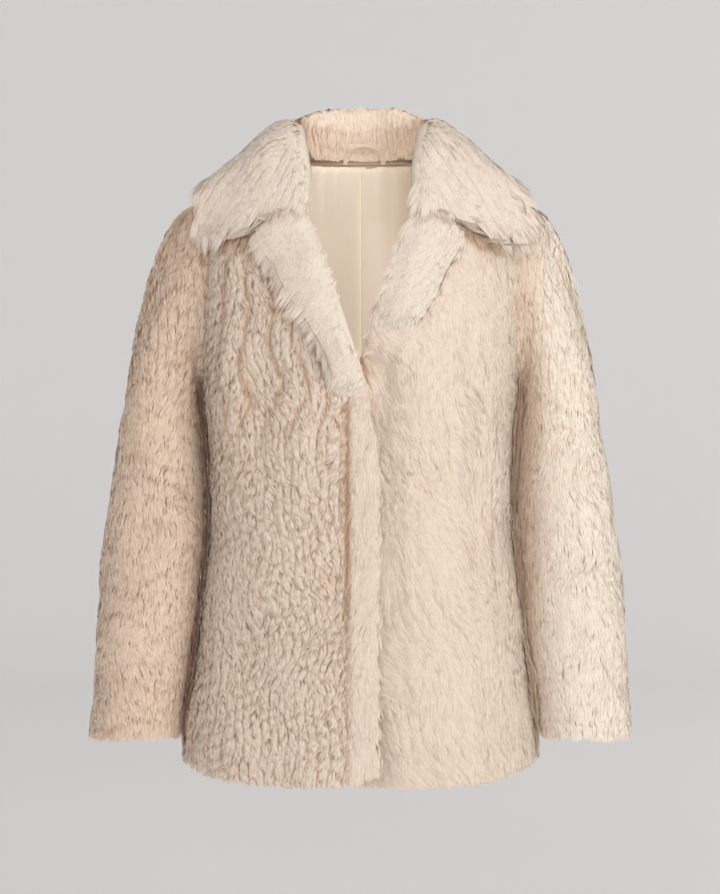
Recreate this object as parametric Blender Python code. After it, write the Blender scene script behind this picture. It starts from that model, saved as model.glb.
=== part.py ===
"""A woman's hip-length faux fur coat, filled out in its worn shape with no wearer.

Metres, +Z up, the front of the coat faces -Y and the wearer's left is +X. The origin is the
middle of the neck opening, level with the points where the shoulder seams meet the neck: there
the wearer's neck and shoulders hold the coat. Angles go round the body from 0 at the centre
front, positive towards the wearer's left, to 180 at the centre back.

Every piece is a wall lofted through sections. The outer surface is the tips of the pile and the
inner surface is the back of the cloth.
"""

import math

import bpy
import numpy as np

# ---------------------------------------------------------------- driving dimensions, in metres
COAT_LENGTH = 0.712  # neck point to hem
HEM_LIFT = 0.027  # how much higher the hem rides at the side seams
FUR = 0.011  # cloth and pile together
SEAM = 0.0003  # gap between two pieces that are sewn together
SET_IN = 0.0007  # gap where the sleeves are set in
NECK_GAP = 0.0018  # gap where the collar is set on
CLEAR = 0.0020  # gap under a piece that lies on another
EDGE_GAP = 0.0010  # gap where the facing turns round the front's edge
COLLAR_THICKNESS = 0.013  # upper collar and under collar, pile included
LAPEL_THICKNESS = 0.013  # turned-back front and its fur facing
FACING_CLOTH = 0.0026  # the facing where it lies inside the front edge
FACING_INSIDE = 0.026  # how far the facing reaches in behind the roll line
LINING_CLOTH = 0.0010
LINING_GAP = 0.0018  # the lining's gap from the back panel along its own seams
LINING_FALL = 0.0024  # how much further it hangs away between them
LINING_HEM = 0.030  # the lining ends this far above the coat's hem
PLEAT_DEPTH = 0.010  # overlap of the two lining halves at the centre-back pleat
UNDERLAP_DROP = FUR + 0.0058  # how far the left front sinks to pass under the right front
LOOP_WIDTH = 0.005
LOOP_CLOTH = 0.0016

ARMHOLE_TOP = -0.060
ARMHOLE_BOTTOM = -0.278
ARMHOLE_HALF_ANGLE = 17.0  # degrees, half of the armhole's width round the body
BREAK_Z = -0.256  # bottom of the V, where the fronts cross

# how finely each piece is divided
HEM_ROWS = 16
ARMHOLE_ROWS = 12
SHOULDER_ROWS = 5
FRONT_COLUMNS = 11
BACK_COLUMNS = 20
CAP_RINGS = 7
ARM_RINGS = 18
COLLAR_SECTIONS = 34
COLLAR_POINTS = 13
LAPEL_ROWS = 15
LAPEL_COLUMNS = 6
LINING_ROWS = 20
LINING_COLUMNS = 9


def table(columns, *rows):
    """One array for each named column."""
    return {name: np.array([row[i] for row in rows], float) for i, name in enumerate(columns)}


# Horizontal sections of the body from hem to neck: its half width, how far the front and the
# back stand from the side line, how square the section is and how far its back dips.
BODY = table(
    ("z", "half_width", "front", "back", "squareness", "back_drop"),
    (-COAT_LENGTH, 0.203, 0.141, 0.137, 2.45, 0.000),
    (-0.640, 0.196, 0.138, 0.133, 2.40, 0.000),
    (-0.560, 0.187, 0.134, 0.126, 2.35, 0.000),
    (-0.490, 0.180, 0.130, 0.118, 2.35, 0.000),
    (-0.420, 0.1745, 0.127, 0.111, 2.40, 0.000),
    (-0.340, 0.175, 0.129, 0.110, 2.40, 0.000),
    (-0.270, 0.179, 0.130, 0.114, 2.40, 0.000),
    (-0.190, 0.184, 0.124, 0.119, 2.40, 0.000),
    (-0.130, 0.187, 0.111, 0.118, 2.40, 0.000),
    (-0.090, 0.189, 0.098, 0.113, 2.35, 0.000),
    (ARMHOLE_TOP, 0.188, 0.086, 0.104, 2.30, 0.001),
    (-0.045, 0.166, 0.079, 0.096, 2.25, 0.001),
    (-0.030, 0.141, 0.0725, 0.088, 2.20, 0.002),
    (-0.015, 0.114, 0.0655, 0.078, 2.15, 0.003),
    (0.000, 0.088, 0.059, 0.066, 2.10, 0.004),
)

# Where each front ends at its inner edge. Above the break this is the roll line, then the neck.
FRONT_EDGE = table(
    ("z", "right_x", "left_x"),
    (-COAT_LENGTH, 0.0160, -0.0300),
    (-0.450, 0.0160, -0.0300),
    (-0.340, 0.0145, -0.0270),
    (-0.300, 0.0105, -0.0180),
    (-0.276, 0.0062, -0.0100),
    (BREAK_Z, 0.0005, -0.0030),
    (-0.237, -0.0052, 0.0030),
    (-0.221, -0.0110, 0.0088),
    (-0.193, -0.0200, 0.0170),
    (-0.166, -0.0290, 0.0255),
    (-0.138, -0.0380, 0.0342),
    (-0.111, -0.0478, 0.0445),
    (-0.0714, -0.0632, 0.0632),
    (-0.050, -0.0665, 0.0665),
    (-0.030, -0.0695, 0.0695),
    (-0.012, -0.0720, 0.0720),
    (0.000, -0.0740, 0.0740),
)

# Soft folds of the body: a ridge where height is positive, a trough where it is negative.
BODY_FOLDS = table(
    ("angle", "slant", "width", "z_low", "z_high", "height"),
    (-60, -10, 9, -0.48, -0.10, 0.0080),
    (-45, 20, 7, -0.42, -0.15, -0.0065),
    (-30, 30, 9, -0.62, -0.22, 0.0035),
    (-80, 0, 9, -0.60, -0.30, -0.0050),
    (-9, 6, 4, -0.66, -0.22, -0.0070),
    (1, 0, 6, -0.95, -0.24, 0.0030),
    (20, -20, 7, -0.55, -0.24, -0.0030),
    (42, 0, 7, -0.40, -0.12, -0.0045),
    (58, 12, 9, -0.58, -0.14, 0.0070),
    (80, 0, 8, -0.55, -0.28, -0.0050),
    (-68, 0, 10, -0.95, -0.50, 0.0050),
    (-42, 20, 9, -0.95, -0.50, -0.0040),
    (34, -20, 9, -0.95, -0.52, 0.0045),
    (62, 0, 9, -0.95, -0.52, -0.0035),
    (-112, 0, 9, -0.95, -0.30, 0.0060),
    (-138, 12, 9, -0.60, -0.12, -0.0055),
    (-160, 0, 8, -0.95, -0.42, 0.0065),
    (180, 0, 7, -0.95, -0.34, -0.0045),
    (158, 0, 8, -0.95, -0.40, 0.0060),
    (134, -12, 9, -0.62, -0.12, -0.0055),
    (110, 0, 9, -0.95, -0.32, 0.0060),
    (122, 0, 8, -0.95, -0.58, -0.0045),
    (-125, 0, 8, -0.95, -0.58, -0.0045),
)

# Sections of the arm below the armhole: the outline from the front and from the side.
ARM = table(
    ("z", "inner_x", "outer_x", "middle_y", "half_depth"),
    (-0.666, 0.2025, 0.3070, -0.023, 0.0565),
    (-0.622, 0.1980, 0.3045, -0.020, 0.0565),
    (-0.570, 0.1905, 0.3000, -0.016, 0.0575),
    (-0.513, 0.1850, 0.2975, -0.011, 0.0595),
    (-0.456, 0.1792, 0.2930, -0.007, 0.0620),
    (-0.400, 0.1770, 0.2860, -0.003, 0.0650),
    (-0.345, 0.1775, 0.2780, -0.001, 0.0690),
    (-0.300, 0.1815, 0.2710, 0.000, 0.0720),
)
ARM_SQUARENESS = 2.25

# Creases of each sleeve: side is -1 for the right sleeve, round is the angle round the arm from
# its outer line through the front, tilt is how much the crease drops per radian.
ARM_CREASES = table(
    ("side", "z", "tilt", "width", "round", "span", "height"),
    (-1, -0.235, -0.030, 0.022, 60, 70, 0.0050),
    (-1, -0.290, -0.040, 0.018, 80, 70, -0.0060),
    (-1, -0.350, -0.030, 0.020, 100, 70, 0.0045),
    (-1, -0.405, 0.025, 0.017, 120, 80, -0.0065),
    (-1, -0.450, 0.020, 0.018, 90, 80, 0.0050),
    (-1, -0.500, 0.010, 0.016, 80, 90, -0.0050),
    (-1, -0.560, -0.012, 0.020, 60, 90, 0.0040),
    (-1, -0.610, 0.010, 0.016, 40, 80, -0.0045),
    (-1, -0.420, 0.020, 0.020, 270, 80, -0.0055),
    (-1, -0.480, -0.010, 0.020, 290, 80, 0.0045),
    (-1, -0.550, 0.012, 0.018, 260, 80, -0.0045),
    (1, -0.220, 0.020, 0.022, 60, 70, 0.0045),
    (1, -0.300, 0.030, 0.018, 80, 80, -0.0055),
    (1, -0.360, 0.020, 0.018, 70, 80, 0.0045),
    (1, -0.415, -0.015, 0.016, 120, 90, -0.0065),
    (1, -0.452, -0.010, 0.016, 110, 90, 0.0050),
    (1, -0.490, -0.010, 0.015, 110, 90, -0.0055),
    (1, -0.535, 0.010, 0.018, 70, 80, 0.0040),
    (1, -0.600, 0.015, 0.016, 60, 90, -0.0050),
    (1, -0.400, 0.020, 0.020, 270, 80, -0.0055),
    (1, -0.470, -0.010, 0.020, 290, 80, 0.0045),
    (1, -0.560, 0.012, 0.018, 260, 80, -0.0045),
)

# The gorge, from the roll line to the notch, and on along the collar's free front edge to its tip.
GORGE = table(
    ("share", "x", "z", "lift"),
    (0.00, 0.0635, -0.0695, 0.0085),
    (0.20, 0.0850, -0.0830, 0.0090),
    (0.42, 0.1120, -0.0965, 0.0095),
    (0.62, 0.1310, -0.1095, 0.0110),
    (0.85, 0.1510, -0.1160, 0.0130),
    (1.00, 0.1640, -0.1155, 0.0140),
)
NOTCH_SHARE = 0.42

# Collar sections from the front neck to the centre back. Each is an arch from the neck seam over
# the roll to the outer edge: two pull points, each a share of the way out and a rise above it. The
# rise leans from straight off the cloth (0) to straight up (1).
COLLAR = table(
    ("seam", "lean", "reach_1", "rise_1", "reach_2", "rise_2", "edge_angle", "edge_z", "edge_lift"),
    (0.20, 0.45, 0.00, 0.032, 0.36, 0.030, 74.6, -0.085, 0.0110),
    (0.40, 0.80, -0.06, 0.056, 0.30, 0.024, 76, -0.060, 0.0080),
    (0.58, 1.00, -0.14, 0.076, 0.27, -0.008, 90, -0.041, 0.0050),
    (0.76, 1.00, -0.14, 0.092, 0.28, 0.018, 120, -0.033, 0.0050),
    (1.00, 1.00, -0.06, 0.080, 0.34, 0.072, 180, -0.052, 0.0050),
)
COLLAR_STEP = 0.0095  # how far inside the neck edge the collar's stand rises
NECK_POINT = 6 / 17  # how far along the half neck seam the front's inner edge meets the neckline

# A deep valley down the right half of the collar, beside the roll: a straight line seen from the front.
VALLEY = {"x": -0.110, "z": -0.015, "slope": 0.30, "width": 0.011, "half_height": 0.045, "depth": 0.0075}

# The lapel's outer edge, and how thick it still is where it fades into the front edge.
LAPEL = table(
    ("z", "right_x", "left_x", "fullness"),
    (-0.304, -0.0250, 0.0420, 0.22),
    (-0.262, -0.0320, 0.0430, 0.60),
    (-0.237, -0.0390, 0.0480, 0.80),
    (-0.199, -0.0600, 0.0640, 0.95),
    (-0.177, -0.0750, 0.0770, 1.00),
    (-0.144, -0.0945, 0.0940, 1.00),
    (-0.117, -0.1110, 0.1090, 1.00),
    (-0.099, -0.1130, 0.1120, 1.00),
)
RIGHT_LAPEL_END = -0.304
LEFT_LAPEL_END = -0.227

# Soft upright folds in the hanging lining, by angle from the centre back.
LINING_FOLDS = table(
    ("angle", "slant", "width", "z_low", "z_high", "height"),
    (-14, 20, 5, -0.55, 0.02, 0.0030),
    (-31, -20, 6, -0.60, 0.02, 0.0038),
    (-50, 0, 7, -0.66, -0.05, 0.0035),
    (17, -25, 6, -0.58, 0.02, 0.0040),
    (36, 15, 7, -0.62, 0.00, 0.0036),
    (55, 0, 7, -0.66, -0.08, 0.0035),
)

LOOP_FEET = (-0.019, 0.027)  # x of the hanger loop's two feet on the neck seam
LOOP_RISE = 0.019
LOOP_STAND_OFF = 0.007  # how far the loop bows towards the front

FUR_COLOUR = (0.76, 0.60, 0.46, 1.0)
COLLAR_COLOUR = (0.80, 0.66, 0.53, 1.0)
LINING_COLOUR = (0.80, 0.69, 0.55, 1.0)
LOOP_COLOUR = (0.78, 0.62, 0.48, 1.0)


# ---------------------------------------------------------------- arithmetic
def smooth(at, keys, values):
    """A cubic curve through the table's points, straight on past its ends."""
    at = np.asarray(at, float)
    slopes = np.gradient(values, keys)
    cell = np.clip(np.searchsorted(keys, at) - 1, 0, len(keys) - 2)
    width = keys[cell + 1] - keys[cell]
    t = (at - keys[cell]) / width
    inside = (
        (1 + 2 * t) * (1 - t) ** 2 * values[cell]
        + t * (1 - t) ** 2 * width * slopes[cell]
        + t**2 * (3 - 2 * t) * values[cell + 1]
        + t**2 * (t - 1) * width * slopes[cell + 1]
    )
    below = values[0] + (at - keys[0]) * slopes[0]
    above = values[-1] + (at - keys[-1]) * slopes[-1]
    return np.where(at < keys[0], below, np.where(at > keys[-1], above, inside))


def ease(t):
    """0 to 1 with level ends."""
    t = np.clip(t, 0.0, 1.0)
    return t * t * (3 - 2 * t)


def unit(vectors):
    return vectors / np.linalg.norm(vectors, axis=-1, keepdims=True)


def turn(angle, centre):
    """The signed difference of two angles in degrees, within half a turn."""
    return (angle - centre + 180.0) % 360.0 - 180.0


def relief(folds, angle, z):
    """How far the folds of a table push the surface out."""
    total = np.zeros(np.broadcast(angle, z).shape)
    for name, slant, width, low, high, height in zip(*(folds[c] for c in folds)):
        middle = (low + high) / 2
        across = turn(angle, name + slant * (z - middle)) / width
        along = np.sin(np.pi * np.clip((z - low) / (high - low), 0, 1)) ** 2
        total = total + height * np.exp(-across * across) * along
    return total


# ---------------------------------------------------------------- the body's surface
def body(angle, z):
    """The tips of the pile at this angle in degrees and this height."""
    angle, z = np.broadcast_arrays(np.asarray(angle, float), np.asarray(z, float))
    part = {name: smooth(z, BODY["z"], BODY[name]) for name in BODY if name != "z"}
    sine, cosine = np.sin(np.radians(angle)), np.cos(np.radians(angle))
    depth = np.where(cosine > 0, part["front"], part["back"])
    power = part["squareness"]
    radius = (np.abs(sine / part["half_width"]) ** power + np.abs(cosine / depth) ** power) ** (-1 / power)
    radius = radius + relief(BODY_FOLDS, angle, z)
    dip = part["back_drop"] * ease(np.maximum(-cosine, 0))
    lift = HEM_LIFT * sine**8 * (1 - ease((z + COAT_LENGTH) / 0.15))
    return np.stack([radius * sine, -radius * cosine, z - dip + lift], axis=-1)


def left_front(angle, z):
    """The body's surface, sunk near the centre front so that it passes under the right front."""
    surface = body(angle, z)
    under = ease((0.046 - surface[..., 0]) / 0.024) * ease((-0.224 - np.asarray(z)) / 0.028)
    return surface - (UNDERLAP_DROP * under)[..., None] * outward(body, angle, z)


def outward(surface, angle, z):
    """The surface's unit normal, away from the wearer."""
    step_angle, step_z = 0.4, 0.002
    round_way = surface(np.add(angle, step_angle), z) - surface(np.subtract(angle, step_angle), z)
    up_way = surface(angle, np.add(z, step_z)) - surface(angle, np.subtract(z, step_z))
    return unit(np.cross(round_way, up_way))


def angle_at(x, z):
    """The angle at which the front of the body has this x at this height."""
    x, z = np.broadcast_arrays(np.asarray(x, float), np.asarray(z, float))
    low, high = np.full(x.shape, -80.0), np.full(x.shape, 80.0)
    for _ in range(30):
        middle = (low + high) / 2
        beyond = body(middle, z)[..., 0] > x
        high = np.where(beyond, middle, high)
        low = np.where(beyond, low, middle)
    return (low + high) / 2


def seam_angle(angle, z):
    """Half a seam's gap as an angle in degrees."""
    return math.degrees(SEAM / 2) / np.linalg.norm(body(angle, z)[..., :2], axis=-1)


def body_heights():
    """Row heights: even to the armhole, round its oval, then up the shoulder."""
    middle, half = (ARMHOLE_TOP + ARMHOLE_BOTTOM) / 2, (ARMHOLE_TOP - ARMHOLE_BOTTOM) / 2
    oval = middle - half * np.cos(np.linspace(0, np.pi, ARMHOLE_ROWS + 1))
    skirt = np.linspace(-COAT_LENGTH, ARMHOLE_BOTTOM, HEM_ROWS + 1)[:-1]
    return np.concatenate([skirt, oval, np.linspace(ARMHOLE_TOP, 0, SHOULDER_ROWS + 1)[1:]])


def armhole_half_angle(z):
    """Half the armhole's width in degrees at this height, 0 above and below it."""
    middle, half = (ARMHOLE_TOP + ARMHOLE_BOTTOM) / 2, (ARMHOLE_TOP - ARMHOLE_BOTTOM) / 2
    return ARMHOLE_HALF_ANGLE * np.sqrt(np.clip(1 - ((z - middle) / half) ** 2, 0, 1))


# ---------------------------------------------------------------- making solids
def solid(name, rings, colour, roughness, closed=False):
    """A solid lofted through rings of points. An open row of rings gets ladder-shaped end caps,
    which join the first half of each end ring to its second half."""
    rings = np.asarray(rings, float)
    count, size = rings.shape[:2]
    faces = []
    for i in range(count if closed else count - 1):
        a, b = i * size, (i + 1) % count * size
        faces += [(a + j, a + (j + 1) % size, b + (j + 1) % size, b + j) for j in range(size)]
    if not closed:
        for start in (0, (count - 1) * size):
            cap = [(j, j + 1, size - 2 - j, size - 1 - j) for j in range(size // 2 - 1)]
            turned = cap if start else [face[::-1] for face in cap]
            faces += [tuple(start + k for k in face) for face in turned]
    points = rings.reshape(-1, 3)
    halves = split(points, np.array(faces))
    if np.linalg.det(points[halves]).sum() < 0:
        halves = halves[:, ::-1]
    mesh = bpy.data.meshes.new(name)
    mesh.from_pydata(points.tolist(), [], halves.tolist())
    mesh.shade_smooth()
    mesh.set_sharp_from_angle(angle=math.radians(50))
    made = bpy.data.objects.new(name, mesh)
    made.data.materials.append(finish(name, colour, roughness))
    COAT.objects.link(made)
    return made


def split(points, quads):
    """Each four-cornered face as two triangles, cut along its shorter diagonal."""
    first = np.linalg.norm(points[quads[:, 0]] - points[quads[:, 2]], axis=1)
    second = np.linalg.norm(points[quads[:, 1]] - points[quads[:, 3]], axis=1)
    turned = np.where((second < first)[:, None], quads[:, [1, 2, 3, 0]], quads)
    return np.concatenate([turned[:, [0, 1, 2]], turned[:, [0, 2, 3]]])


def finish(name, colour, roughness):
    made = bpy.data.materials.new(name)
    made.use_nodes = True
    shader = made.node_tree.nodes["Principled BSDF"]
    shader.inputs["Base Color"].default_value = colour
    shader.inputs["Roughness"].default_value = roughness
    shader.inputs["Metallic"].default_value = 0.0
    return made


def wall(outer, inner):
    """Rings of a wall: along the outer points, and back along the inner ones."""
    return np.concatenate([outer, inner[:, ::-1]], axis=1)


# ---------------------------------------------------------------- the body panels
def front_panel(side):
    """One front, from its inner edge to the side seam, the armhole and the shoulder seam."""
    surface = body if side < 0 else left_front
    z = body_heights()
    edge_x = smooth(z, FRONT_EDGE["z"], FRONT_EDGE["right_x" if side < 0 else "left_x"])
    wrapped = ease((z - (RIGHT_LAPEL_END if side < 0 else LEFT_LAPEL_END)) / 0.02 + 1.1)
    inner_edge = angle_at(edge_x + side * (FACING_CLOTH + EDGE_GAP) * wrapped, z)
    outer_edge = side * (90.0 - armhole_half_angle(z))
    outer_edge = outer_edge - side * seam_angle(outer_edge, z)
    across = np.linspace(0, 1, FRONT_COLUMNS + 1)
    angle = inner_edge[:, None] + (outer_edge - inner_edge)[:, None] * across
    corner = 0.012 * (1 - ease(across / 0.12)) * (1 - ease((z[:, None] + COAT_LENGTH) / 0.05))
    height = z[:, None] + corner
    outer = surface(angle, height)
    name = "front_right" if side < 0 else "front_left"
    solid(name, wall(outer, outer - FUR * outward(surface, angle, height)), FUR_COLOUR, 0.95)


def back_panel():
    """The back, from one side seam, armhole and shoulder seam to the other."""
    z = body_heights()
    edge = 90.0 + armhole_half_angle(z)
    edge = edge + seam_angle(edge, z)
    angle = 180.0 + (180.0 - edge)[:, None] * np.linspace(-1, 1, BACK_COLUMNS + 1)
    height = np.broadcast_to(z[:, None], angle.shape)
    outer = body(angle, height)
    solid("back", wall(outer, outer - FUR * outward(body, angle, height)), FUR_COLOUR, 0.95)


# ---------------------------------------------------------------- sleeves
def armhole_ring(side, depth):
    """The armhole's edge, this deep under the pile, with the way into the armhole and out of it."""
    round_arm = np.linspace(0, 2 * np.pi, 2 * ARMHOLE_ROWS, endpoint=False)
    middle, half = (ARMHOLE_TOP + ARMHOLE_BOTTOM) / 2, (ARMHOLE_TOP - ARMHOLE_BOTTOM) / 2
    z = middle + half * np.cos(round_arm)
    angle = side * (90.0 - ARMHOLE_HALF_ANGLE * np.sin(round_arm))
    normal = outward(body, angle, z)
    edge = body(angle, z)
    inward = body(np.full_like(angle, side * 90.0), np.full_like(z, middle)) - edge
    inward = unit(inward - (inward * normal).sum(-1, keepdims=True) * normal)
    return edge - depth * normal + SET_IN * inward, inward, normal


def arm_ring(side, z):
    """Level sections of the arm at these heights."""
    round_arm = np.linspace(0, 2 * np.pi, 2 * ARMHOLE_ROWS, endpoint=False)[None]
    part = {name: smooth(z, ARM["z"], ARM[name])[:, None] for name in ARM if name != "z"}
    half_width = (part["outer_x"] - part["inner_x"]) / 2
    cosine, sine = np.cos(round_arm), np.sin(round_arm)
    power = ARM_SQUARENESS
    radius = (np.abs(cosine / half_width) ** power + np.abs(sine / part["half_depth"]) ** power) ** (-1 / power)
    height = np.broadcast_to(z[:, None], radius.shape)
    radius = radius + crease(side, round_arm, height)
    x = (part["outer_x"] + part["inner_x"]) / 2 + radius * cosine
    return np.stack([side * x, part["middle_y"] - radius * sine, height], axis=-1)


def crease(side, round_arm, z):
    """How far the sleeve's creases push its wall out, none of them on the line beside the body."""
    total = np.zeros(np.broadcast(round_arm, z).shape)
    for which, level, tilt, width, centre, span, height in zip(*(ARM_CREASES[c] for c in ARM_CREASES)):
        if which != side:
            continue
        around = np.radians(turn(np.degrees(round_arm), centre))
        fade = np.exp(-((around / np.radians(span) * 1.4) ** 2))
        total = total + height * fade * np.exp(-(((z - level - tilt * around) / width) ** 2))
    return total * (1 - np.maximum(-np.cos(round_arm), 0) ** 3)


def sleeve(side):
    """A tube from the armhole's edge over the sleeve cap and down the arm to the cuff."""
    start, inward, normal = armhole_ring(side, 0.0)
    arm = arm_ring(side, np.linspace(ARM["z"][-1], ARM["z"][0], ARM_RINGS + 1))
    round_arm = np.linspace(0, 2 * np.pi, 2 * ARMHOLE_ROWS, endpoint=False)[:, None]
    top, under = np.maximum(np.cos(round_arm), 0) ** 2, np.maximum(-np.cos(round_arm), 0) ** 2
    tilt = 1.0 - 0.40 * top - 0.40 * under
    leave = (0.080 + 0.088 * top - 0.050 * under) * (np.cos(tilt) * inward + np.sin(tilt) * normal)
    arrive = (0.110 + 0.090 * top - 0.065 * under) * unit(arm[1] - arm[0])
    t = np.linspace(0, 1, CAP_RINGS + 1)[:-1, None, None]
    cap = (
        (1 + 2 * t) * (1 - t) ** 2 * start
        + t * (1 - t) ** 2 * leave
        + t**2 * (3 - 2 * t) * arm[0]
        + t**2 * (t - 1) * arrive
    )
    outer = np.concatenate([cap, arm])
    down = np.gradient(outer, axis=0)
    round_way = np.roll(outer, -1, axis=1) - np.roll(outer, 1, axis=1)
    inner = outer - FUR * side * unit(np.cross(round_way, down))
    inner[0] = armhole_ring(side, FUR)[0]
    name = "sleeve_right" if side < 0 else "sleeve_left"
    sections = np.concatenate([outer, inner[::-1]]).transpose(1, 0, 2)
    solid(name, sections, FUR_COLOUR, 0.95, closed=True)


# ---------------------------------------------------------------- collar
def gorge_line(share):
    """Points along the right gorge and the collar's front edge, and the way out of the cloth."""
    x, z, lift = (smooth(share, GORGE["share"], GORGE[name]) for name in ("x", "z", "lift"))
    angle = angle_at(-x, z)
    normal = outward(body, angle, z)
    return body(angle, z) + lift[:, None] * normal, normal


def neck_rim(share):
    """The right half of the panels' neck edge, from the gorge (0) to the centre back (1): the tips
    of the pile, the way out of the cloth and the way off its edge."""

    def place(s):
        z = np.clip(GORGE["z"][0] * (1 - s / NECK_POINT), GORGE["z"][0], 0.0)
        edge_x = smooth(z, FRONT_EDGE["z"], FRONT_EDGE["right_x"]) - FACING_CLOTH - EDGE_GAP
        inner = angle_at(edge_x, z)
        round_neck = np.clip((s - NECK_POINT) / (1 - NECK_POINT), 0, 2)
        return inner + (-180.0 - inner) * round_neck, z

    angle, z = place(share)
    normal = outward(body, angle, z)
    along = body(*place(share + 0.01)) - body(*place(share - 0.01))
    return body(angle, z), normal, unit(np.cross(along, normal))


def collar_half():
    """The middle of the collar's wall over the right half, and the way out of the cloth at its gorge.
    The first section runs round the front's edge and on along the gorge, and the others leave it."""
    share = np.linspace(0, 1, COLLAR_SECTIONS // 2 + 1)[:, None]
    t = np.linspace(0, 1, COLLAR_POINTS) ** 1.2
    rim, normal, off = neck_rim(share[:, 0])
    row = {name: smooth(np.maximum(share, COLLAR["seam"][0]), COLLAR["seam"], COLLAR[name]) for name in COLLAR}
    start = rim - FUR / 2 * normal + COLLAR_STEP * off
    up = unit(row["lean"] * np.array([0, 0, 1.0]) + (1 - row["lean"]) * normal)
    edge_angle, edge_z = -row["edge_angle"][:, 0], row["edge_z"][:, 0]
    edge = body(edge_angle, edge_z) + (row["edge_lift"] + COLLAR_THICKNESS / 2) * outward(body, edge_angle, edge_z)
    first = start + row["reach_1"] * (edge - start) + row["rise_1"] * up
    second = start + row["reach_2"] * (edge - start) + row["rise_2"] * up
    start, first, second, edge = (point[:, None] for point in (start, first, second, edge))
    s = t[:, None]
    arch = (1 - s) ** 3 * start + 3 * s * (1 - s) ** 2 * first + 3 * s**2 * (1 - s) * second + s**3 * edge

    gorge, gorge_normal = gorge_line(t)
    step = start[0, 0] - gorge[0]
    rise = (step * normal[0]).sum() * normal[0]
    gorge = gorge + np.outer(1 - ease(t / 0.06), rise) + np.outer(1 - ease(t / 0.2), step - rise)
    leave = ease(share / COLLAR["seam"][0])[:, None]
    beside_edge = np.sin(np.pi * np.clip((share + 0.04) / 0.32, 0, 1))[:, None] * (1 - ease((s - 0.10) / 0.35))
    clear = beside_edge * (0.0036 * normal + 0.0030 * off)[:, None]
    return (1 - leave) * gorge + leave * arch + clear, gorge_normal


def collar():
    """The folded collar, both halves alike but for the valley down its right one."""
    mirror = np.array([-1.0, 1.0, 1.0])
    half, gorge_normal = collar_half()
    middle = np.concatenate([half, half[-2::-1] * mirror])
    normal = unit(np.cross(np.gradient(middle, axis=1), np.gradient(middle, axis=0)))
    normal[0, 3:], normal[-1, 3:] = gorge_normal[3:], gorge_normal[3:] * mirror
    across = (middle[..., 0] - VALLEY["x"] - VALLEY["slope"] * (middle[..., 2] - VALLEY["z"])) / VALLEY["width"]
    along = np.clip((middle[..., 2] - VALLEY["z"]) / VALLEY["half_height"], -1, 1)
    sink = VALLEY["depth"] * np.exp(-across * across) * (1 - along * along) ** 2 * (middle[..., 1] < 0.02)
    middle = middle - sink[..., None] * normal
    thin = COLLAR_THICKNESS / 2 * (1 - 0.45 * np.linspace(0, 1, COLLAR_POINTS) ** 7)[:, None]
    upper, lower = middle + thin * normal, middle - thin * normal
    share = np.linspace(0, 1, len(middle))
    rim, out, off = neck_rim(1 - np.abs(2 * share - 1))
    flip = np.where(share[:, None] > 0.5, mirror, 1.0)
    lower[:, 0] = (rim + NECK_GAP * off) * flip
    upper[:, 0] = (rim + NECK_GAP * off - FUR * out) * flip
    solid("collar", wall(upper, lower), COLLAR_COLOUR, 0.95)


# ---------------------------------------------------------------- lapels
def lapel(side):
    """The fur facing: from behind the front's edge, round it at the roll line, and out as the lapel."""
    surface, column, end = (body, "right_x", RIGHT_LAPEL_END) if side < 0 else (left_front, "left_x", LEFT_LAPEL_END)
    gorge_z = smooth(np.linspace(0, NOTCH_SHARE, LAPEL_COLUMNS + 1), GORGE["share"], GORGE["z"]) - 0.0034
    across = np.linspace(0, 1, LAPEL_COLUMNS + 1)
    rings = []
    for v in np.linspace(0, 1, LAPEL_ROWS + 1):
        z = end + v * (gorge_z - end)
        roll = float(smooth(z[0], FRONT_EDGE["z"], FRONT_EDGE[column]))
        rim = float(smooth(z[-1], LAPEL["z"], LAPEL[column]))
        full = LAPEL_THICKNESS * min(float(smooth(z[-1], LAPEL["z"], LAPEL["fullness"])), 1.0)
        full *= 1.0 if side < 0 else 0.3 + 0.7 * float(ease((z[0] - end) / 0.05))

        def place(x, height, depth):
            angle = angle_at(x, height)
            return surface(angle, height) + np.reshape(depth, (-1, 1)) * outward(surface, angle, height)

        x = roll + (rim - roll) * across
        hug = roll + side * FACING_CLOTH
        inside = np.array([hug, roll + side * FACING_INSIDE])
        behind = np.full(2, z[0])
        over = place(x, z, CLEAR + full * (1 - 0.45 * across**4) * (0.55 + 0.45 * ease(across / 0.3)))
        under = place(np.maximum(side * x, side * hug) * side, z, np.full_like(x, CLEAR))
        near = place(inside, behind, np.full(2, -FUR - CLEAR))
        far = place(inside, behind, np.full(2, -FUR - CLEAR - FACING_CLOTH))
        turned = place(np.full(2, roll - side * 0.0012), behind, np.array([-FUR * 0.75, full * 0.25]))
        rings.append(np.concatenate([far[::-1], turned, over, under[::-1], near]))
    name = "lapel_right" if side < 0 else "lapel_left"
    solid(name, np.array(rings), COLLAR_COLOUR, 0.95)


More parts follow.
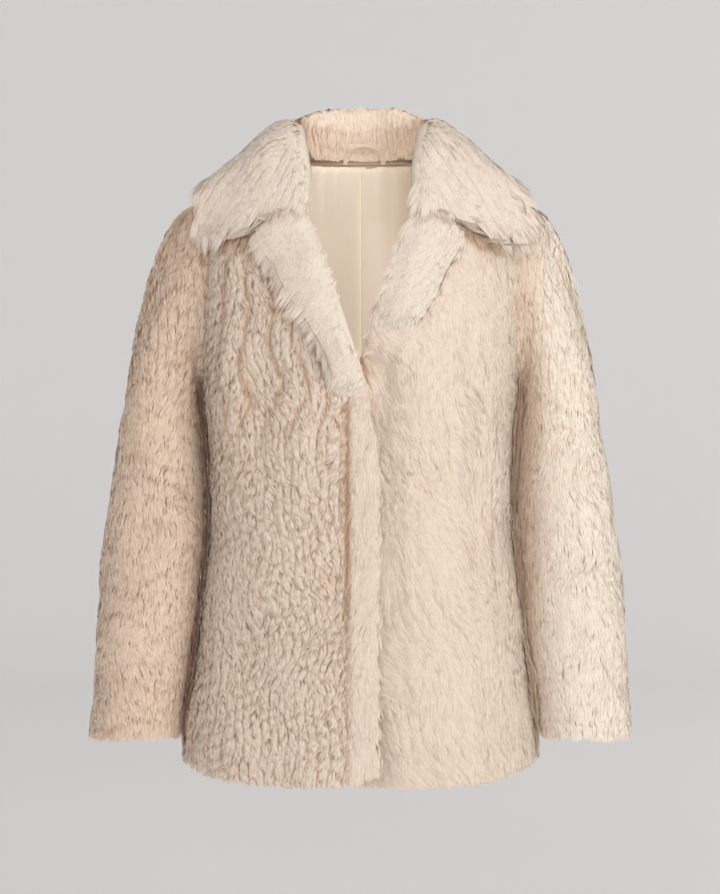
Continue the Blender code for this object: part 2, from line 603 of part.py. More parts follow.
# ---------------------------------------------------------------- lining and loop
def lining(side):
    """One half of the back lining. The left half passes over the right one at the pleat."""
    under = 0.0 if side > 0 else PLEAT_DEPTH
    z = np.linspace(-COAT_LENGTH + LINING_HEM, -0.002, LINING_ROWS + 1)
    edge = 90.0 + armhole_half_angle(z) + 1.2
    centre = 180.0 + math.degrees(under / 0.1)
    across = np.linspace(0, 1, LINING_COLUMNS + 1)
    angle = edge[:, None] + (centre - edge[:, None]) * across
    angle = angle if side > 0 else 360.0 - angle
    height = np.broadcast_to(z[:, None], angle.shape)
    normal = outward(body, angle, height)
    free = ease(across / 0.12) * ease((-z[:, None] - 0.004) / 0.02)
    hang = LINING_FALL * free + relief(LINING_FOLDS, turn(angle, 180.0), height) * free
    lifted = (LINING_CLOTH + 0.0022) * ease((turn(angle, 180.0) + 16) / 6) if side > 0 else 0.0
    near = body(angle, height) - (FUR + LINING_GAP + hang + lifted)[..., None] * normal
    name = "lining_left" if side > 0 else "lining_right"
    solid(name, wall(near, near - LINING_CLOTH * normal), LINING_COLOUR, 0.4)


def hanger_loop():
    """A narrow folded strap that arches from one foot on the neck seam to the other."""
    t = np.linspace(0, np.pi, 15)
    left, right = LOOP_FEET
    x = (left + right) / 2 - (right - left) / 2 * np.cos(t)
    angle = 180.0 - np.degrees(x / 0.064)
    seam = body(angle, 0.0) - (FUR + 0.0035) * outward(body, angle, 0.0)
    middle = seam + np.stack([0 * t, -LOOP_STAND_OFF * np.sin(t), 0.002 + LOOP_RISE * np.sin(t) ** 0.8], axis=-1)
    along = unit(np.gradient(middle, axis=0))
    across = unit(np.cross(along, np.array([0.0, 0.6, 0.8])))
    depth = unit(np.cross(along, across))
    width, cloth = LOOP_WIDTH / 2, LOOP_CLOTH / 2
    corners = ((-width, -cloth), (width, -cloth), (width, cloth), (-width, cloth))
    rings = np.stack([middle + w * across + c * depth for w, c in corners], axis=1)
    solid("hanger_loop", rings, LOOP_COLOUR, 0.45)


for leftover in list(bpy.data.objects):
    bpy.data.objects.remove(leftover)
COAT = bpy.data.collections.new("faux_fur_coat")
bpy.context.scene.collection.children.link(COAT)

for which_side in (-1, 1):
    front_panel(which_side)
    sleeve(which_side)
    lapel(which_side)
    lining(which_side)
back_panel()
collar()
hanger_loop()
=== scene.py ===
"""The looks of a hip-length faux fur coat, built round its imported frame.

Each cut piece is a thin cloth shell on its solid's form, with a pile of tapered strands in tufts
rooted in it. Metres, +Z up, the coat's front faces -Y and the wearer's left is +X.
"""

import bpy
import numpy as np
from bpy.props import FloatProperty, FloatVectorProperty, PointerProperty
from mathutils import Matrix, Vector
from mathutils.bvhtree import BVHTree
from mathutils.kdtree import KDTree


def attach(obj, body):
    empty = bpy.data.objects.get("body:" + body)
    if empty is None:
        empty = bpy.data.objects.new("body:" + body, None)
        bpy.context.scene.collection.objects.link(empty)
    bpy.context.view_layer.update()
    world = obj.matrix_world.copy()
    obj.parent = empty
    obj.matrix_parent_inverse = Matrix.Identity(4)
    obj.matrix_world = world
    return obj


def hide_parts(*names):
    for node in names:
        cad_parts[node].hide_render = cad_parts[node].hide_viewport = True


bl_info = {
    "name": "Faux fur coat",
    "version": (1, 0, 0),
    "blender": (4, 5, 0),
    "location": "3D View > Sidebar > Coat",
    "description": "Dresses the coat's frame with cloth, pile, satin and a studio",
    "category": "Object",
}

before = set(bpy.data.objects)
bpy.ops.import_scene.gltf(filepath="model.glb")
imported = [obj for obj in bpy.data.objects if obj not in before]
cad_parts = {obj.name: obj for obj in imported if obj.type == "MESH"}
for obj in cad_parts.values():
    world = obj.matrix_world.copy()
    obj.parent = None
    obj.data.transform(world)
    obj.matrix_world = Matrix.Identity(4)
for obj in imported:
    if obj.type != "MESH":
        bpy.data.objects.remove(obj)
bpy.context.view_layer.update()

MM = 0.001
DOWN = np.array([0.0, 0.0, -1.0])
BACKWARDS = np.array([0.0, 1.0, 0.0])
BODY_PANELS = ("front_right", "front_left", "back")
SLEEVES = ("sleeve_right", "sleeve_left")
WORN = BODY_PANELS + SLEEVES  # the pieces with one outside, away from the wearer
LAPELS = ("lapel_right", "lapel_left")
LININGS = ("lining_right", "lining_left")

# The camera stands level with the coat's middle and looks along +Y.
CAMERA_DISTANCE = 3.5
AIM_X, AIM_Z = -0.00114, -0.33858
FRAME_HEIGHT = 894 * 1.14 * MM  # what the render covers at the coat's middle plane

# How each piece's pile is made: the gap between tufts, then a curly and a brushed tuft's width,
# length and lift, all in millimetres, and the number of strands.
PILE = {
    "front_right": (5.2, (10.0, 12.0), (13.0, 20.0), (1.0, 0.3), 88000),
    "front_left": (5.2, (10.0, 13.0), (15.0, 22.0), (1.0, 0.3), 88000),
    "back": (5.8, (11.0, 13.0), (14.0, 22.0), (1.1, 0.3), 80000),
    "sleeve_right": (5.4, (10.5, 13.0), (13.0, 18.0), (1.0, 0.3), 61000),
    "sleeve_left": (5.2, (10.5, 13.0), (13.0, 18.0), (1.0, 0.3), 73000),
    "collar": (4.6, (8.5, 11.0), (13.0, 16.0), (0.8, 0.2), 60000),
    "lapel_right": (4.4, (8.0, 10.0), (11.0, 14.0), (0.8, 0.2), 17000),
    "lapel_left": (4.4, (8.0, 10.0), (11.0, 14.0), (0.8, 0.2), 12000),
}
# The left arm's middle line from armhole to cuff. The right arm's is its mirror image.
ARM_LINE = ((0.168, 0.0, -0.150), (0.226, 0.0, -0.300), (0.233, -0.008, -0.450), (0.255, -0.023, -0.670))

STRAND_WIDTH = 0.0013
LAPEL_BRUSH = {"lapel_right": (-0.5, -0.2, -0.8), "lapel_left": (-0.4, -0.2, -0.8)}  # tips' way
BAND_WIDTH = 0.032  # the brushed strip beside the right front's edge
BAND_LINE = 0.0035  # half the width of the line along it
BODY_RADIUS = 0.17  # turns an angle round the body into a width along the cloth
BRAID_WIDTH = 0.0125  # the curly pile's upright columns
SCALLOP = 0.0150  # the rows that cross them
FOLD_WIDTH = 0.031  # the broader folds over its upper half
RIPPLE_WIDTH = 0.016  # the left front's faint ripples, and how far they lean
RIPPLE_LEAN = 0.40
PARTING_GAP = 0.024  # the sleeves' partings across the arm
PLEAT_WIDTH = 0.03  # and the folds along it, near the shoulder
STRIPE_WIDTH = 0.011  # the collar's stripes
HEM_CLEAR = 0.005  # how far the cloth ends over the tips at a free lower edge
HEM_ROOM = 0.05  # and the height over which it is drawn up
LAPEL_FADE = 0.045  # over this length a lapel's lower end sinks into the front
LAPEL_RIM = 0.009  # how far the cloth of the right lapel's outer rim lies back
NECK_SEAM = -0.0075  # the height of the seam between the collar and the lining
STAND_RADIUS = 0.066  # round the neck's middle line: within this lies the inner wall of the stand,
STAND_FRONT = 0.053  # here its pile is rooted,
STAND_FOOT = 0.0635  # behind this lies the cloth of its foot,
STAND_OUTSIDE = 0.072  # and within this its outer wall
LEAF_FRONT = -0.03  # the collar's leaves lie in front of this Y
LEAF_CLEAR = 0.007  # how far the cloth of a leaf's lower rim lies behind and over the tips
ROLL_HEIGHT = 0.024  # over this height the collar rolls over
UNDER_LEAF = (0.004, 0.017)  # pile this near to a leaf or the right lapel is in its shadow
CREVICE = 0.012  # pieces that face each other closer than this reach towards each other
SAME_POINT = 2e-5  # points of the frame closer than this are one
OFF_SURFACE, OFF_PILE = 0.0015, 0.0025  # how far out rays to the next solid and the open air start
SKY_REACH = 0.25  # a way that is free so far leads out into the open
RELIEF_STEP = 1.2 * MM  # the length over which the relief's slope is read


# ---------------- arithmetic
def unit(vectors):
    """Each vector divided by its length."""
    return vectors / np.maximum(np.linalg.norm(vectors, axis=-1, keepdims=True), 1e-12)


def ease(t):
    """0 to 1 with level ends: 3 t squared minus 2 t cubed."""
    t = np.clip(t, 0.0, 1.0)
    return t * t * (3 - 2 * t)


def ridge(across, width):
    """A round ridge of height 1, with this half width."""
    return np.exp(-((across / width) ** 2))


def wander(points, size, seed):
    """A smooth random field between about -1 and 1: six plane sine waves of about this length."""
    rng = np.random.default_rng(seed)
    ways = unit(rng.normal(size=(6, 3))) / (size * rng.uniform(0.7, 1.5, (6, 1)))
    return np.sin(2 * np.pi * (points @ ways.T + rng.uniform(0, 1, 6))).sum(axis=-1) / 2.6


def along_surface(vectors, normals):
    """The part of each vector that lies in the surface, at unit length."""
    return unit(vectors - (vectors * normals).sum(-1, keepdims=True) * normals)


# ---------------- surfaces of the frame
class Surface:
    """A frame node's mesh with its doubles merged: points, triangles and the triangles' normals."""

    def __init__(self, node):
        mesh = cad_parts[node].data
        mesh.calc_loop_triangles()
        points = np.empty(len(mesh.vertices) * 3, np.float32)
        corners = np.empty(len(mesh.loop_triangles) * 3, np.int32)
        mesh.vertices.foreach_get("co", points)
        mesh.loop_triangles.foreach_get("vertices", corners)
        points = points.reshape(-1, 3).astype(float)
        cells = np.round(points / SAME_POINT).astype(np.int64)
        _, first, index = np.unique(cells, axis=0, return_index=True, return_inverse=True)
        corners = index.reshape(-1)[corners].reshape(-1, 3)
        whole = (corners != np.roll(corners, 1, axis=1)).all(axis=1)
        self.node, self.points, self.corners = node, points[first], corners[whole]
        a, b, c = self.points[self.corners].transpose(1, 0, 2)
        cross = np.cross(b - a, c - a)
        self.area = np.linalg.norm(cross, axis=1) / 2
        self.normals = unit(cross)
        self.middles = (a + b + c) / 3
        if node == "collar":
            self.normals[self.turned_in()] *= -1
        self.outside = self.faces_out()

    def turned_in(self):
        """Which triangles face into the solid, so that their other side is the one that shows."""
        tree = BVHTree.FromPolygons(self.points.tolist(), self.corners.tolist())
        found = np.zeros(len(self.corners), bool)
        for i, (middle, normal) in enumerate(zip(self.middles, self.normals)):
            hit = tree.ray_cast(Vector(middle + SAME_POINT * normal), Vector(normal))
            found[i] = hit[0] is not None and hit[1].dot(Vector(normal)) > 0
        return found

    def faces_out(self):
        """Which triangles may show the pile: on the body and sleeves those that face away from the
        middle line of the body or the arm, and all on the collar and lapels."""
        if self.node in BODY_PANELS:
            core = self.middles * [0, 0, 1]
            core[:, 2] = np.minimum(core[:, 2], -0.10)  # the line ends at the shoulders
        elif self.node in SLEEVES:
            core = arm_line(self.node, self.middles)
        else:
            return np.ones(len(self.corners), bool)
        return (self.normals * unit(self.middles - core)).sum(axis=1) > 0.35

    def summed(self, amounts, chosen=slice(None)):
        """At each point, the sum of the amounts that the chosen triangles round it have."""
        total = np.zeros((len(self.points),) + amounts.shape[1:])
        for i in range(3):
            np.add.at(total, self.corners[chosen, i], amounts[chosen])
        return total

    def point_normals(self, chosen):
        """The mean direction at each point of the chosen triangles round it, by their area."""
        total = self.summed(self.normals * self.area[:, None], chosen)
        return unit(total) * (np.linalg.norm(total, axis=1, keepdims=True) > 1e-12)

    def sharpness(self):
        """How sharply the surface turns at each point: 0 where it is flat, and more at a rim."""
        total = np.linalg.norm(self.summed(self.normals * self.area[:, None]), axis=1)
        return 1 - total / np.maximum(self.summed(self.area), 1e-12)

    def corner_normals(self):
        """At each corner of each triangle, the mean normal of the triangles round it within about 50
        degrees of this one, so that rims stay rims."""
        spots = self.corners.ravel()
        order = np.argsort(spots, kind="stable")
        first = np.searchsorted(spots[order], spots)
        number = np.bincount(spots)[spots]
        own = np.repeat(self.normals, 3, axis=0)
        total = np.zeros_like(own)
        for k in range(number.max()):
            face = order[np.minimum(first + k, len(spots) - 1)] // 3
            alike = (k < number) & ((self.normals[face] * own).sum(axis=1) > 0.64)
            total += (alike * self.area[face])[:, None] * self.normals[face]
        return unit(total).reshape(-1, 3, 3)

    def scatter(self, count, rng):
        """Random places on the outside, even by area, with the smooth normal there."""
        faces = np.flatnonzero(self.outside)
        face = rng.choice(faces, count, p=self.area[faces] / self.area[faces].sum())
        share = rng.dirichlet((1, 1, 1), count)
        corner_normals = self.corner_normals()[face]
        places = (self.points[self.corners[face]] * share[..., None]).sum(axis=1)
        return places, unit((corner_normals * share[..., None]).sum(axis=1))

    def cover(self, gap, rng):
        """Covers the outside with a dense cloud of places, six for each tuft, and their normals."""
        count = int(self.area[self.outside].sum() / gap**2 * 6)
        self.cloud, self.cloud_normals = self.scatter(count, rng)
        self.tree = search_tree(self.cloud)

    def nearest(self, places):
        """The place in the cloud that is nearest to each of these, and its normal."""
        found = [self.tree.find(place)[1] for place in places]
        return self.cloud[found], self.cloud_normals[found]

    def spaced(self, gap):
        """Indices of places in the cloud that keep at least this gap, in their own random order."""
        free, kept = np.ones(len(self.cloud), bool), []
        for i in range(len(self.cloud)):
            if free[i]:
                kept.append(i)
                free[[found[1] for found in self.tree.find_range(self.cloud[i], gap)]] = False
        return np.array(kept)

    def hem_height(self, places):
        """How far the free lower edge lies under each place, read from the edge's ring of points."""
        near_hem = self.middles[:, 2] < self.points[:, 2].min() + 0.06
        low = (self.normals[:, 2] < -0.7) & near_hem
        ring = self.points[np.unique(self.corners[low])]
        core = 0.0 if self.node in BODY_PANELS else ring[:, :2].mean(axis=0)
        angle = np.arctan2(*(ring[:, :2] - core).T)
        order = np.argsort(angle)
        asked = np.arctan2(*(places[:, :2] - core).T)
        return places[:, 2] - np.interp(asked, angle[order], ring[order, 2], period=2 * np.pi)


def arm_line(node, places):
    """The nearest point of the arm's middle line to each place."""
    stations = np.array(ARM_LINE) * [-1 if node == "sleeve_right" else 1, 1, 1]
    nearest, best = places, np.full(len(places), np.inf)
    for start, end in zip(stations[:-1], stations[1:]):
        way = end - start
        share = np.clip(((places - start) @ way) / (way @ way), 0, 1)
        found = start + share[:, None] * way
        gap = np.linalg.norm(places - found, axis=1)
        nearest = np.where((gap < best)[:, None], found, nearest)
        best = np.minimum(gap, best)
    return nearest


def search_tree(places):
    """A tree that finds the nearest of these places."""
    tree = KDTree(len(places))
    for i, place in enumerate(places):
        tree.insert(place, i)
    tree.balance()
    return tree


# Ways that light comes in by: those along one axis and those along all three.
GRID_WAYS = np.array(list(np.ndindex(3, 3, 3))) - 1
SKY_WAYS = [Vector(way).normalized() for way in GRID_WAYS.tolist() if sum(map(abs, way)) in (1, 3)]


def open_sky(places, normals):
    """Whether a straight way leads out into the open from just over each place."""
    def free(place, normal):
        start, normal = Vector(place + OFF_PILE * normal), Vector(normal)
        ways = [normal] + [way for way in SKY_WAYS if way.dot(normal) > -0.2]
        return any(SOLIDS.ray_cast(start, way, SKY_REACH)[0] is None for way in ways)

    return np.array([free(place, normal) for place, normal in zip(places, normals)])


def gaps_over(places, normals):
    """How far the next solid is over each place, up to the width of a crevice."""
    gaps = np.full(len(places), CREVICE)
    for i, (place, normal) in enumerate(zip(places, normals)):
        start = Vector(place + OFF_SURFACE * normal)
        found = SOLIDS.ray_cast(start, Vector(normal), CREVICE - OFF_SURFACE)
        if found[0] is not None:
            gaps[i] = found[3] + OFF_SURFACE
    return gaps


def frame_tree():
    """A search tree of every solid of the frame, without the lapels' ends, which sink away."""
    points, corners, start = [], [], 0
    for node, part in SURFACES.items():
        kept = part.corners
        if node in LAPELS:
            kept = kept[part.middles[:, 2] > part.points[:, 2].min() + LAPEL_FADE / 2]
        points.append(part.points)
        corners.append(kept + start)
        start += len(part.points)
    return BVHTree.FromPolygons(np.concatenate(points).tolist(), np.concatenate(corners).tolist())


def leaf_tree():
    """A search tree of places all over the collar and over the right lapel, but for its sunk end."""
    rng = np.random.default_rng(5)
    places = np.concatenate([SURFACES[node].scatter(7000, rng)[0] for node in ("collar", "lapel_right")])
    low = SURFACES["lapel_right"].points[:, 2].min() + LAPEL_FADE
    return search_tree(places[(places[:, 2] > low) | (places[:, 1] > -0.02)])


def under_leaf(node, places):
    """How near each place of the body or sleeves lies to the collar or right lapel, from 0 to 1."""
    if node not in WORN:
        return np.zeros(len(places))
    near, far = UNDER_LEAF
    gaps = np.array([LEAVES.find(place)[2] for place in places])
    return 1 - ease((gaps - near) / (far - near))


def faces_opening(node, places, normals):
    """How far each place of the collar or a lapel faces into the V in front, from 0 to 1."""
    if node in WORN:
        return np.zeros(len(places))
    side = {"lapel_right": -1, "lapel_left": 1}.get(node, np.sign(places[:, 0]))
    return ease((-side * normals[:, 0] - 0.2) / 0.4) * (places[:, 1] < -0.01)


# ---------------- round the neck
def from_neck(places):
    """The level direction from the middle of the neck to each place."""
    return unit(places * [1, 1, 0] + [0, -0.01, 0])


def neck_radius(places):
    """How far each place is from the neck's middle line, as the stand is wider than deep."""
    return np.hypot(0.8 * places[:, 0], places[:, 1])


def neck_side(places, normals):
    """How far each place of the collar lies on the stand's inner wall, from 0 to 1."""
    _, y, z = places.T
    inward = (from_neck(places) * normals).sum(axis=1) < -0.2
    return ease((0.034 - z) / 0.015) * inward * ((neck_radius(places) < STAND_RADIUS) & (y > -0.05))


def on_stand(places, normals):
    """The stand's pile is rooted on one upright wall, which goes on down to the neck seam."""
    inside = neck_side(places, normals)[:, None] > 0.1
    share = np.minimum(1, STAND_FRONT / neck_radius(places))
    upright = places * np.stack([share, share, 1 + 0 * share], axis=1)
    return np.where(inside, upright, places), np.where(inside, -from_neck(places), normals)


def leaf_height(places):
    """How high each place lies over the lower rim of the collar's leaf there."""
    rim = SURFACES["collar"].points
    rim = rim[rim[:, 1] < LEAF_FRONT]
    across = np.linspace(0.04, 0.19, 26)
    near = np.abs(np.abs(rim[:, 0]) - across[:, None]) < 0.008
    low = np.where(near, rim[:, 2], 0.0).min(axis=1)
    return places[:, 2] - np.interp(np.abs(places[:, 0]), across, low)


# ---------------- how the pile lies
def collar_flow(places, normals):
    """The collar's pile runs from the neck over the roll to the outer edge: the way round the neck,
    crossed with the normal. On the leaves in front it falls outwards and down, and on the stand's
    inside straight down."""
    over = np.cross(np.cross([0.0, 0.0, 1.0], from_neck(places)), normals)
    leaf = ease((-0.045 - places[:, 1]) / 0.03) * (normals[:, 1] < 0.2)
    fall = np.sign(places[:, :1]) * [0.25, 0, 0] + 0.95 * DOWN
    inside = neck_side(places, normals)[:, None]
    return (1 - inside) * (over + 1.4 * leaf[:, None] * fall) + inside * DOWN


def flow(node, places, normals):
    """The way the tips point: down the body and the arm, and as brushed on the collar and lapels."""
    if node == "collar":
        return along_surface(collar_flow(places, normals), normals)
    return along_surface(np.array(LAPEL_BRUSH.get(node, DOWN)) + 0 * places, normals)


def turned(ways, normals, angle):
    """Each direction turned round its normal by an angle in radians."""
    return np.cos(angle)[:, None] * ways + np.sin(angle)[:, None] * np.cross(normals, ways)


def brushed(node, places):
    """How smoothly the pile is brushed at each place, from 0, curly, to 1."""
    x, z = places[:, 0], places[:, 2]
    patch = wander(places, 0.10, 21)
    if node == "front_right":
        inner = SURFACES[node].points[:, 0].max() - BAND_WIDTH
        smooth = ease((x - inner) / 0.012) + 0.12 * patch
    elif node == "front_left":
        smooth = 0.78 + 0.20 * patch - 0.30 * ease((x - 0.11) / 0.05)
    elif node in SLEEVES:
        plain = 0.76 + 0.17 * (node == "sleeve_left")
        smooth = plain + 0.20 * patch - 0.35 * ease((z + 0.34) / 0.1) * (x < 0)
    elif node == "collar":
        smooth = 0.72 + 0.35 * ease((x + 0.02) / 0.1) + 0.12 * patch
    elif node == "back":
        smooth = 0.40 + 0.30 * patch
    else:
        smooth = 0.92 + 0 * x
    return np.clip(smooth, 0, 1)


def body_round(places):
    """The width along the cloth from the centre front: the angle round the body times its radius."""
    return BODY_RADIUS * np.arctan2(places[..., 0], -places[..., 1])


def columns(across, places, width, bend, seed):
    """Wandering columns of this width: each one's number, and the place in it from -1 to 1."""
    share = (across + bend * (wander(places, 0.11, seed) + 0.20 * wander(places, 0.04, seed + 1))) / width
    number = np.floor(share)
    return number, 2 * (share - number) - 1


def rows(places, pitch, bend, seed, offset=0.0):
    """Wandering rows of this height: how far down its own row each place is, from 0 to 1."""
    share = (bend * wander(places, 0.07, seed) - places[..., 2]) / pitch + offset
    return share - np.floor(share)


def relief(node, places, smooth):
    """The pile's own relief: a height, and how deep in a crease each place lies, from 0 to 1. The
    curly pile falls in upright columns crossed by rows, with lumps that swell to their lower lips,
    and in broader folds above. The left front has slanting ripples, the sleeves have partings across
    the arm, and the collar has stripes and a hollow for the hanger loop. The lapels only wander."""
    x, y, z = places.T
    height = MM * (0.9 * wander(places, 0.07, 31) + 0.4 * wander(places, 0.03, 32))
    crease = np.zeros(len(places))
    if node in ("front_right", "back"):
        number, side = columns(body_round(places), places, BRAID_WIDTH, 0.011, 34)
        fall = rows(places, SCALLOP, 0.003, 36, 0.37 * number + 0.32 * side**2)
        curly, lumps = 1 - smooth, ease(0.55 + 0.7 * wander(places, 0.06, 38))
        height += MM * curly * (-2.2 * side**4 + 2.3 * lumps * (fall**2 - 0.4))
        crease = curly * np.maximum(side**8, lumps * np.clip(1 - fall / 0.18, 0, 1))
        _, trough = columns(body_round(places), places, FOLD_WIDTH, 0.010, 52)
        upper = ease((z + 0.42) / 0.16)
        height += MM * 3.0 * curly * upper * (0.4 - trough**2)
        crease = np.maximum(crease, 0.9 * curly * upper * trough**6)
    if node == "front_right":
        inner = SURFACES[node].points[:, 0].max() - BAND_WIDTH
        line = ridge(x - inner, BAND_LINE) * ease((-0.24 - z) / 0.03)
        line *= 0.35 + 0.65 * ease((z + 0.60) / 0.15)
        height -= 2.0 * MM * line
        crease = np.maximum(crease, 0.9 * line)
    elif node == "front_left":
        across = body_round(places) + RIPPLE_LEAN * z
        _, side = columns(across, places, RIPPLE_WIDTH, 0.010, 40)
        faint = ease(0.35 + 0.8 * wander(places, 0.08, 42))
        height += MM * faint * -0.8 * side**4
        crease = 0.6 * faint * side**14
    elif node in SLEEVES:
        fall = rows(places, PARTING_GAP, 0.010, 44)
        calm = 0.45 if node == "sleeve_left" else 1.0
        strong = calm * ease(0.55 + 0.9 * wander(places, 0.08, 45))
        height += MM * 1.5 * strong * (fall - 0.5)
        crease = strong * np.clip(1.2 - fall / 0.11, 0, 1)
        _, side = columns(3 * x, places, PLEAT_WIDTH, 0.012, 46)
        upper = calm * ease((z + 0.34) / 0.10)
        height += MM * upper * -1.1 * side**4
        crease = np.maximum(crease, 0.8 * upper * side**12)
    elif node == "collar":
        around = 0.10 * body_round(places) / BODY_RADIUS
        across = np.where(y < -0.05, 0.84 * np.abs(x) + 0.54 * z, around)
        _, side = columns(across, places, STRIPE_WIDTH, 0.003, 48)
        faint = ease(0.3 + 0.8 * wander(places, 0.06, 49))
        height += MM * faint * -0.8 * side**4
        crease = 0.6 * faint * side**12
        hollow = ease((0.034 - np.abs(x - 0.004)) / 0.008) * (y > 0) * (y < 0.065)
        height -= 3.0 * MM * hollow * ease((0.022 - z) / 0.01)
    return height, crease


def sways(node, places, smooth):
    """How far each tuft is turned from the flow, in radians. In a curly column the tufts turn to the
    crease beside them, and the left front's middle part is brushed to one side."""
    turn = 0.30 * wander(places, 0.12, 32) + 0.16 * wander(places, 0.05, 33)
    if node in ("front_right", "back"):
        _, side = columns(body_round(places), places, BRAID_WIDTH, 0.011, 34)
        turn = turn + 0.45 * side * (1 - smooth)
    if node == "front_left":
        x = places[:, 0]
        turn = turn + 0.38 * ease((x + 0.01) / 0.03) * ease((0.15 - x) / 0.05)
    return turn


def lapel_sink(node, places, normals):
    """How a lapel's lower end moves back into the front: by nothing at the fade's upper end, and at
    its lower end by 14 mm on the side that shows and 8 mm behind. The left lapel's outer edge sinks
    6 mm, because it blends into the front."""
    if node not in LAPELS:
        return 0 * places
    share = 1 - ease((places[:, 2] - SURFACES[node].points[:, 2].min()) / LAPEL_FADE)
    outer = 0.006 * ease((normals[:, 0] - 0.2) / 0.5) * (node == "lapel_left")
    return np.maximum(share * (0.011 - 0.003 * normals[:, 1]), outer)[:, None] * BACKWARDS


# ---------------- making meshes
def new_mesh_object(name, points, faces, finishes, face_finish=None):
    """A smooth mesh object at the origin, with its finishes in order."""
    mesh = bpy.data.meshes.new(name)
    mesh.vertices.add(len(points))
    mesh.vertices.foreach_set("co", np.ascontiguousarray(points, np.float32).ravel())
    mesh.loops.add(faces.size)
    mesh.loops.foreach_set("vertex_index", np.ascontiguousarray(faces, np.int32).ravel())
    mesh.polygons.add(len(faces))
    mesh.polygons.foreach_set("loop_start", np.arange(0, faces.size, faces.shape[1], dtype=np.int32))
    mesh.update(calc_edges=True)
    mesh.polygons.foreach_set("use_smooth", np.ones(len(faces), bool))
    if face_finish is not None:
        mesh.polygons.foreach_set("material_index", face_finish.astype(np.int32))
    made = bpy.data.objects.new(name, mesh)
    for finish in finishes:
        mesh.materials.append(finish)
    bpy.context.scene.collection.objects.link(made)
    return made


def cloth_shell(node, depth, finishes):
    """The piece's backing: its solid with the pile's depth taken off the outside, less in a crevice,
    nothing at the V and the stand's foot, and more at the lapels' rims. Near a free lower edge it
    moves up, because the tips hang over it. The leaves' lower rims move back and up, the right
    lapel's outer rim back, and the stand's foot outwards."""
    part = SURFACES[node]
    points, normals = part.points, part.point_normals(part.outside)
    worn = node in WORN
    open_to = ease(gaps_over(points, normals) / CREVICE * 2 - 1) if worn else 1.0
    foot = (points[:, 2] < 0.010) & (neck_radius(points) < STAND_OUTSIDE) & (node == "collar")
    depth = depth * (1 - faces_opening(node, points, normals))
    if node in LAPELS:
        depth = depth * (1 + ease(part.sharpness() / 0.3))
    move = depth * ~foot * (0.35 + 0.65 * open_to) * normals.T
    points = points - move.T + lapel_sink(node, points, normals)
    if worn:
        points[:, 2] += HEM_CLEAR * (1 - ease(part.hem_height(part.points) / HEM_ROOM))
    points[foot, :2] *= np.maximum(1, STAND_FOOT / neck_radius(part.points[foot]))[:, None]
    if node == "collar":
        rim = LEAF_CLEAR * (1 - ease(leaf_height(part.points) / 0.014)) * (part.points[:, 1] < LEAF_FRONT)
        points += rim[:, None] * [0.0, 1.0, 0.9]
    if node == "lapel_right":
        points[:, 1] += LAPEL_RIM * ease((-normals[:, 0] - 0.1) / 0.4)
    inner = ~part.outside if worn else np.zeros(len(part.corners), bool)
    made = new_mesh_object(f"{node}_cloth", points, part.corners, finishes, inner)
    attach(made, "root")
    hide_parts(node)
    return made


# One strand is a flat kite: a point in the cloth, two sides half way, and a point at its tip.
KITE_SHARES = (0.0, 0.5, 1.0)  # its stations, as shares of its length
KITE_SIDES = ((0.0,), (-1.0, 1.0), (0.0,))  # the points at each station, as shares of half its width
KITE_FACES = np.array([(0, 1, 2), (1, 3, 2)])


def roots(part, gap):
    """Where the tufts stand: evenly spaced on the outside, under open air and clear of the hem. On
    the collar they stand where it faces up, forwards or the neck."""
    node, kept = part.node, part.spaced(gap)
    places, normals = part.cloud[kept], part.cloud_normals[kept]
    if node == "collar":
        places, normals = on_stand(places, normals)
    free = open_sky(places, normals)
    if node in WORN:
        free &= part.hem_height(places) > 3 * MM
    else:
        free &= (normals[:, 2] > -0.85) & (faces_opening(node, places, normals) < 0.4)
    if node == "collar":
        _, to_y, to_z = normals.T
        leaf = (places[:, 1] < -0.045) & (to_y < -0.2) & (to_z > -0.35)
        free &= (neck_radius(places) < STAND_RADIUS) | (to_z > 0.15) | leaf
    return places[free], normals[free]


def fringe(part, places, normals, ways, length):
    """A factor on each tuft's length: 2 for those that run over a lower rim, so that they hang over
    it, but not over the neck seam or the roll."""
    _, facing = part.nearest(places + 0.6 * length[:, None] * ways)
    over = (facing * normals).sum(axis=1) < 0.8
    return 1 + 1.0 * over * (1 - neck_side(places, normals)) * (places[:, 2] < ROLL_HEIGHT)


def stations(part, places, normals, ways, length):
    """Three frames along each tuft, a half length apart and laid back on the surface. A tuft that
    runs over a rim goes straight on, the sooner at the lower rims of the collar and lapels, and those
    of the stand hang straight down."""
    rooted, cling = normals, 0.5
    if part.node not in WORN:
        cling = np.where(places[:, 2:] > ROLL_HEIGHT, 0.1, 0.8)
    if part.node == "collar":
        cling = np.where(neck_side(places, normals)[:, None] > 0.1, 2.0, cling)
    places = places - 0.4 * length[:, None] * ways
    made = []
    for step in np.diff(KITE_SHARES, prepend=0.0):
        places = places + (step * length)[:, None] * ways
        spots, facing = part.nearest(places)
        turns = (facing * rooted).sum(axis=1, keepdims=True)
        normals = np.where(turns > cling, facing, normals)
        off = ((places - spots) * normals).sum(1, keepdims=True) * normals
        places = places - np.where(turns > cling, off, 0)
        ways = along_surface(ways, normals)
        made.append((places, normals, np.cross(normals, ways)))
    return made


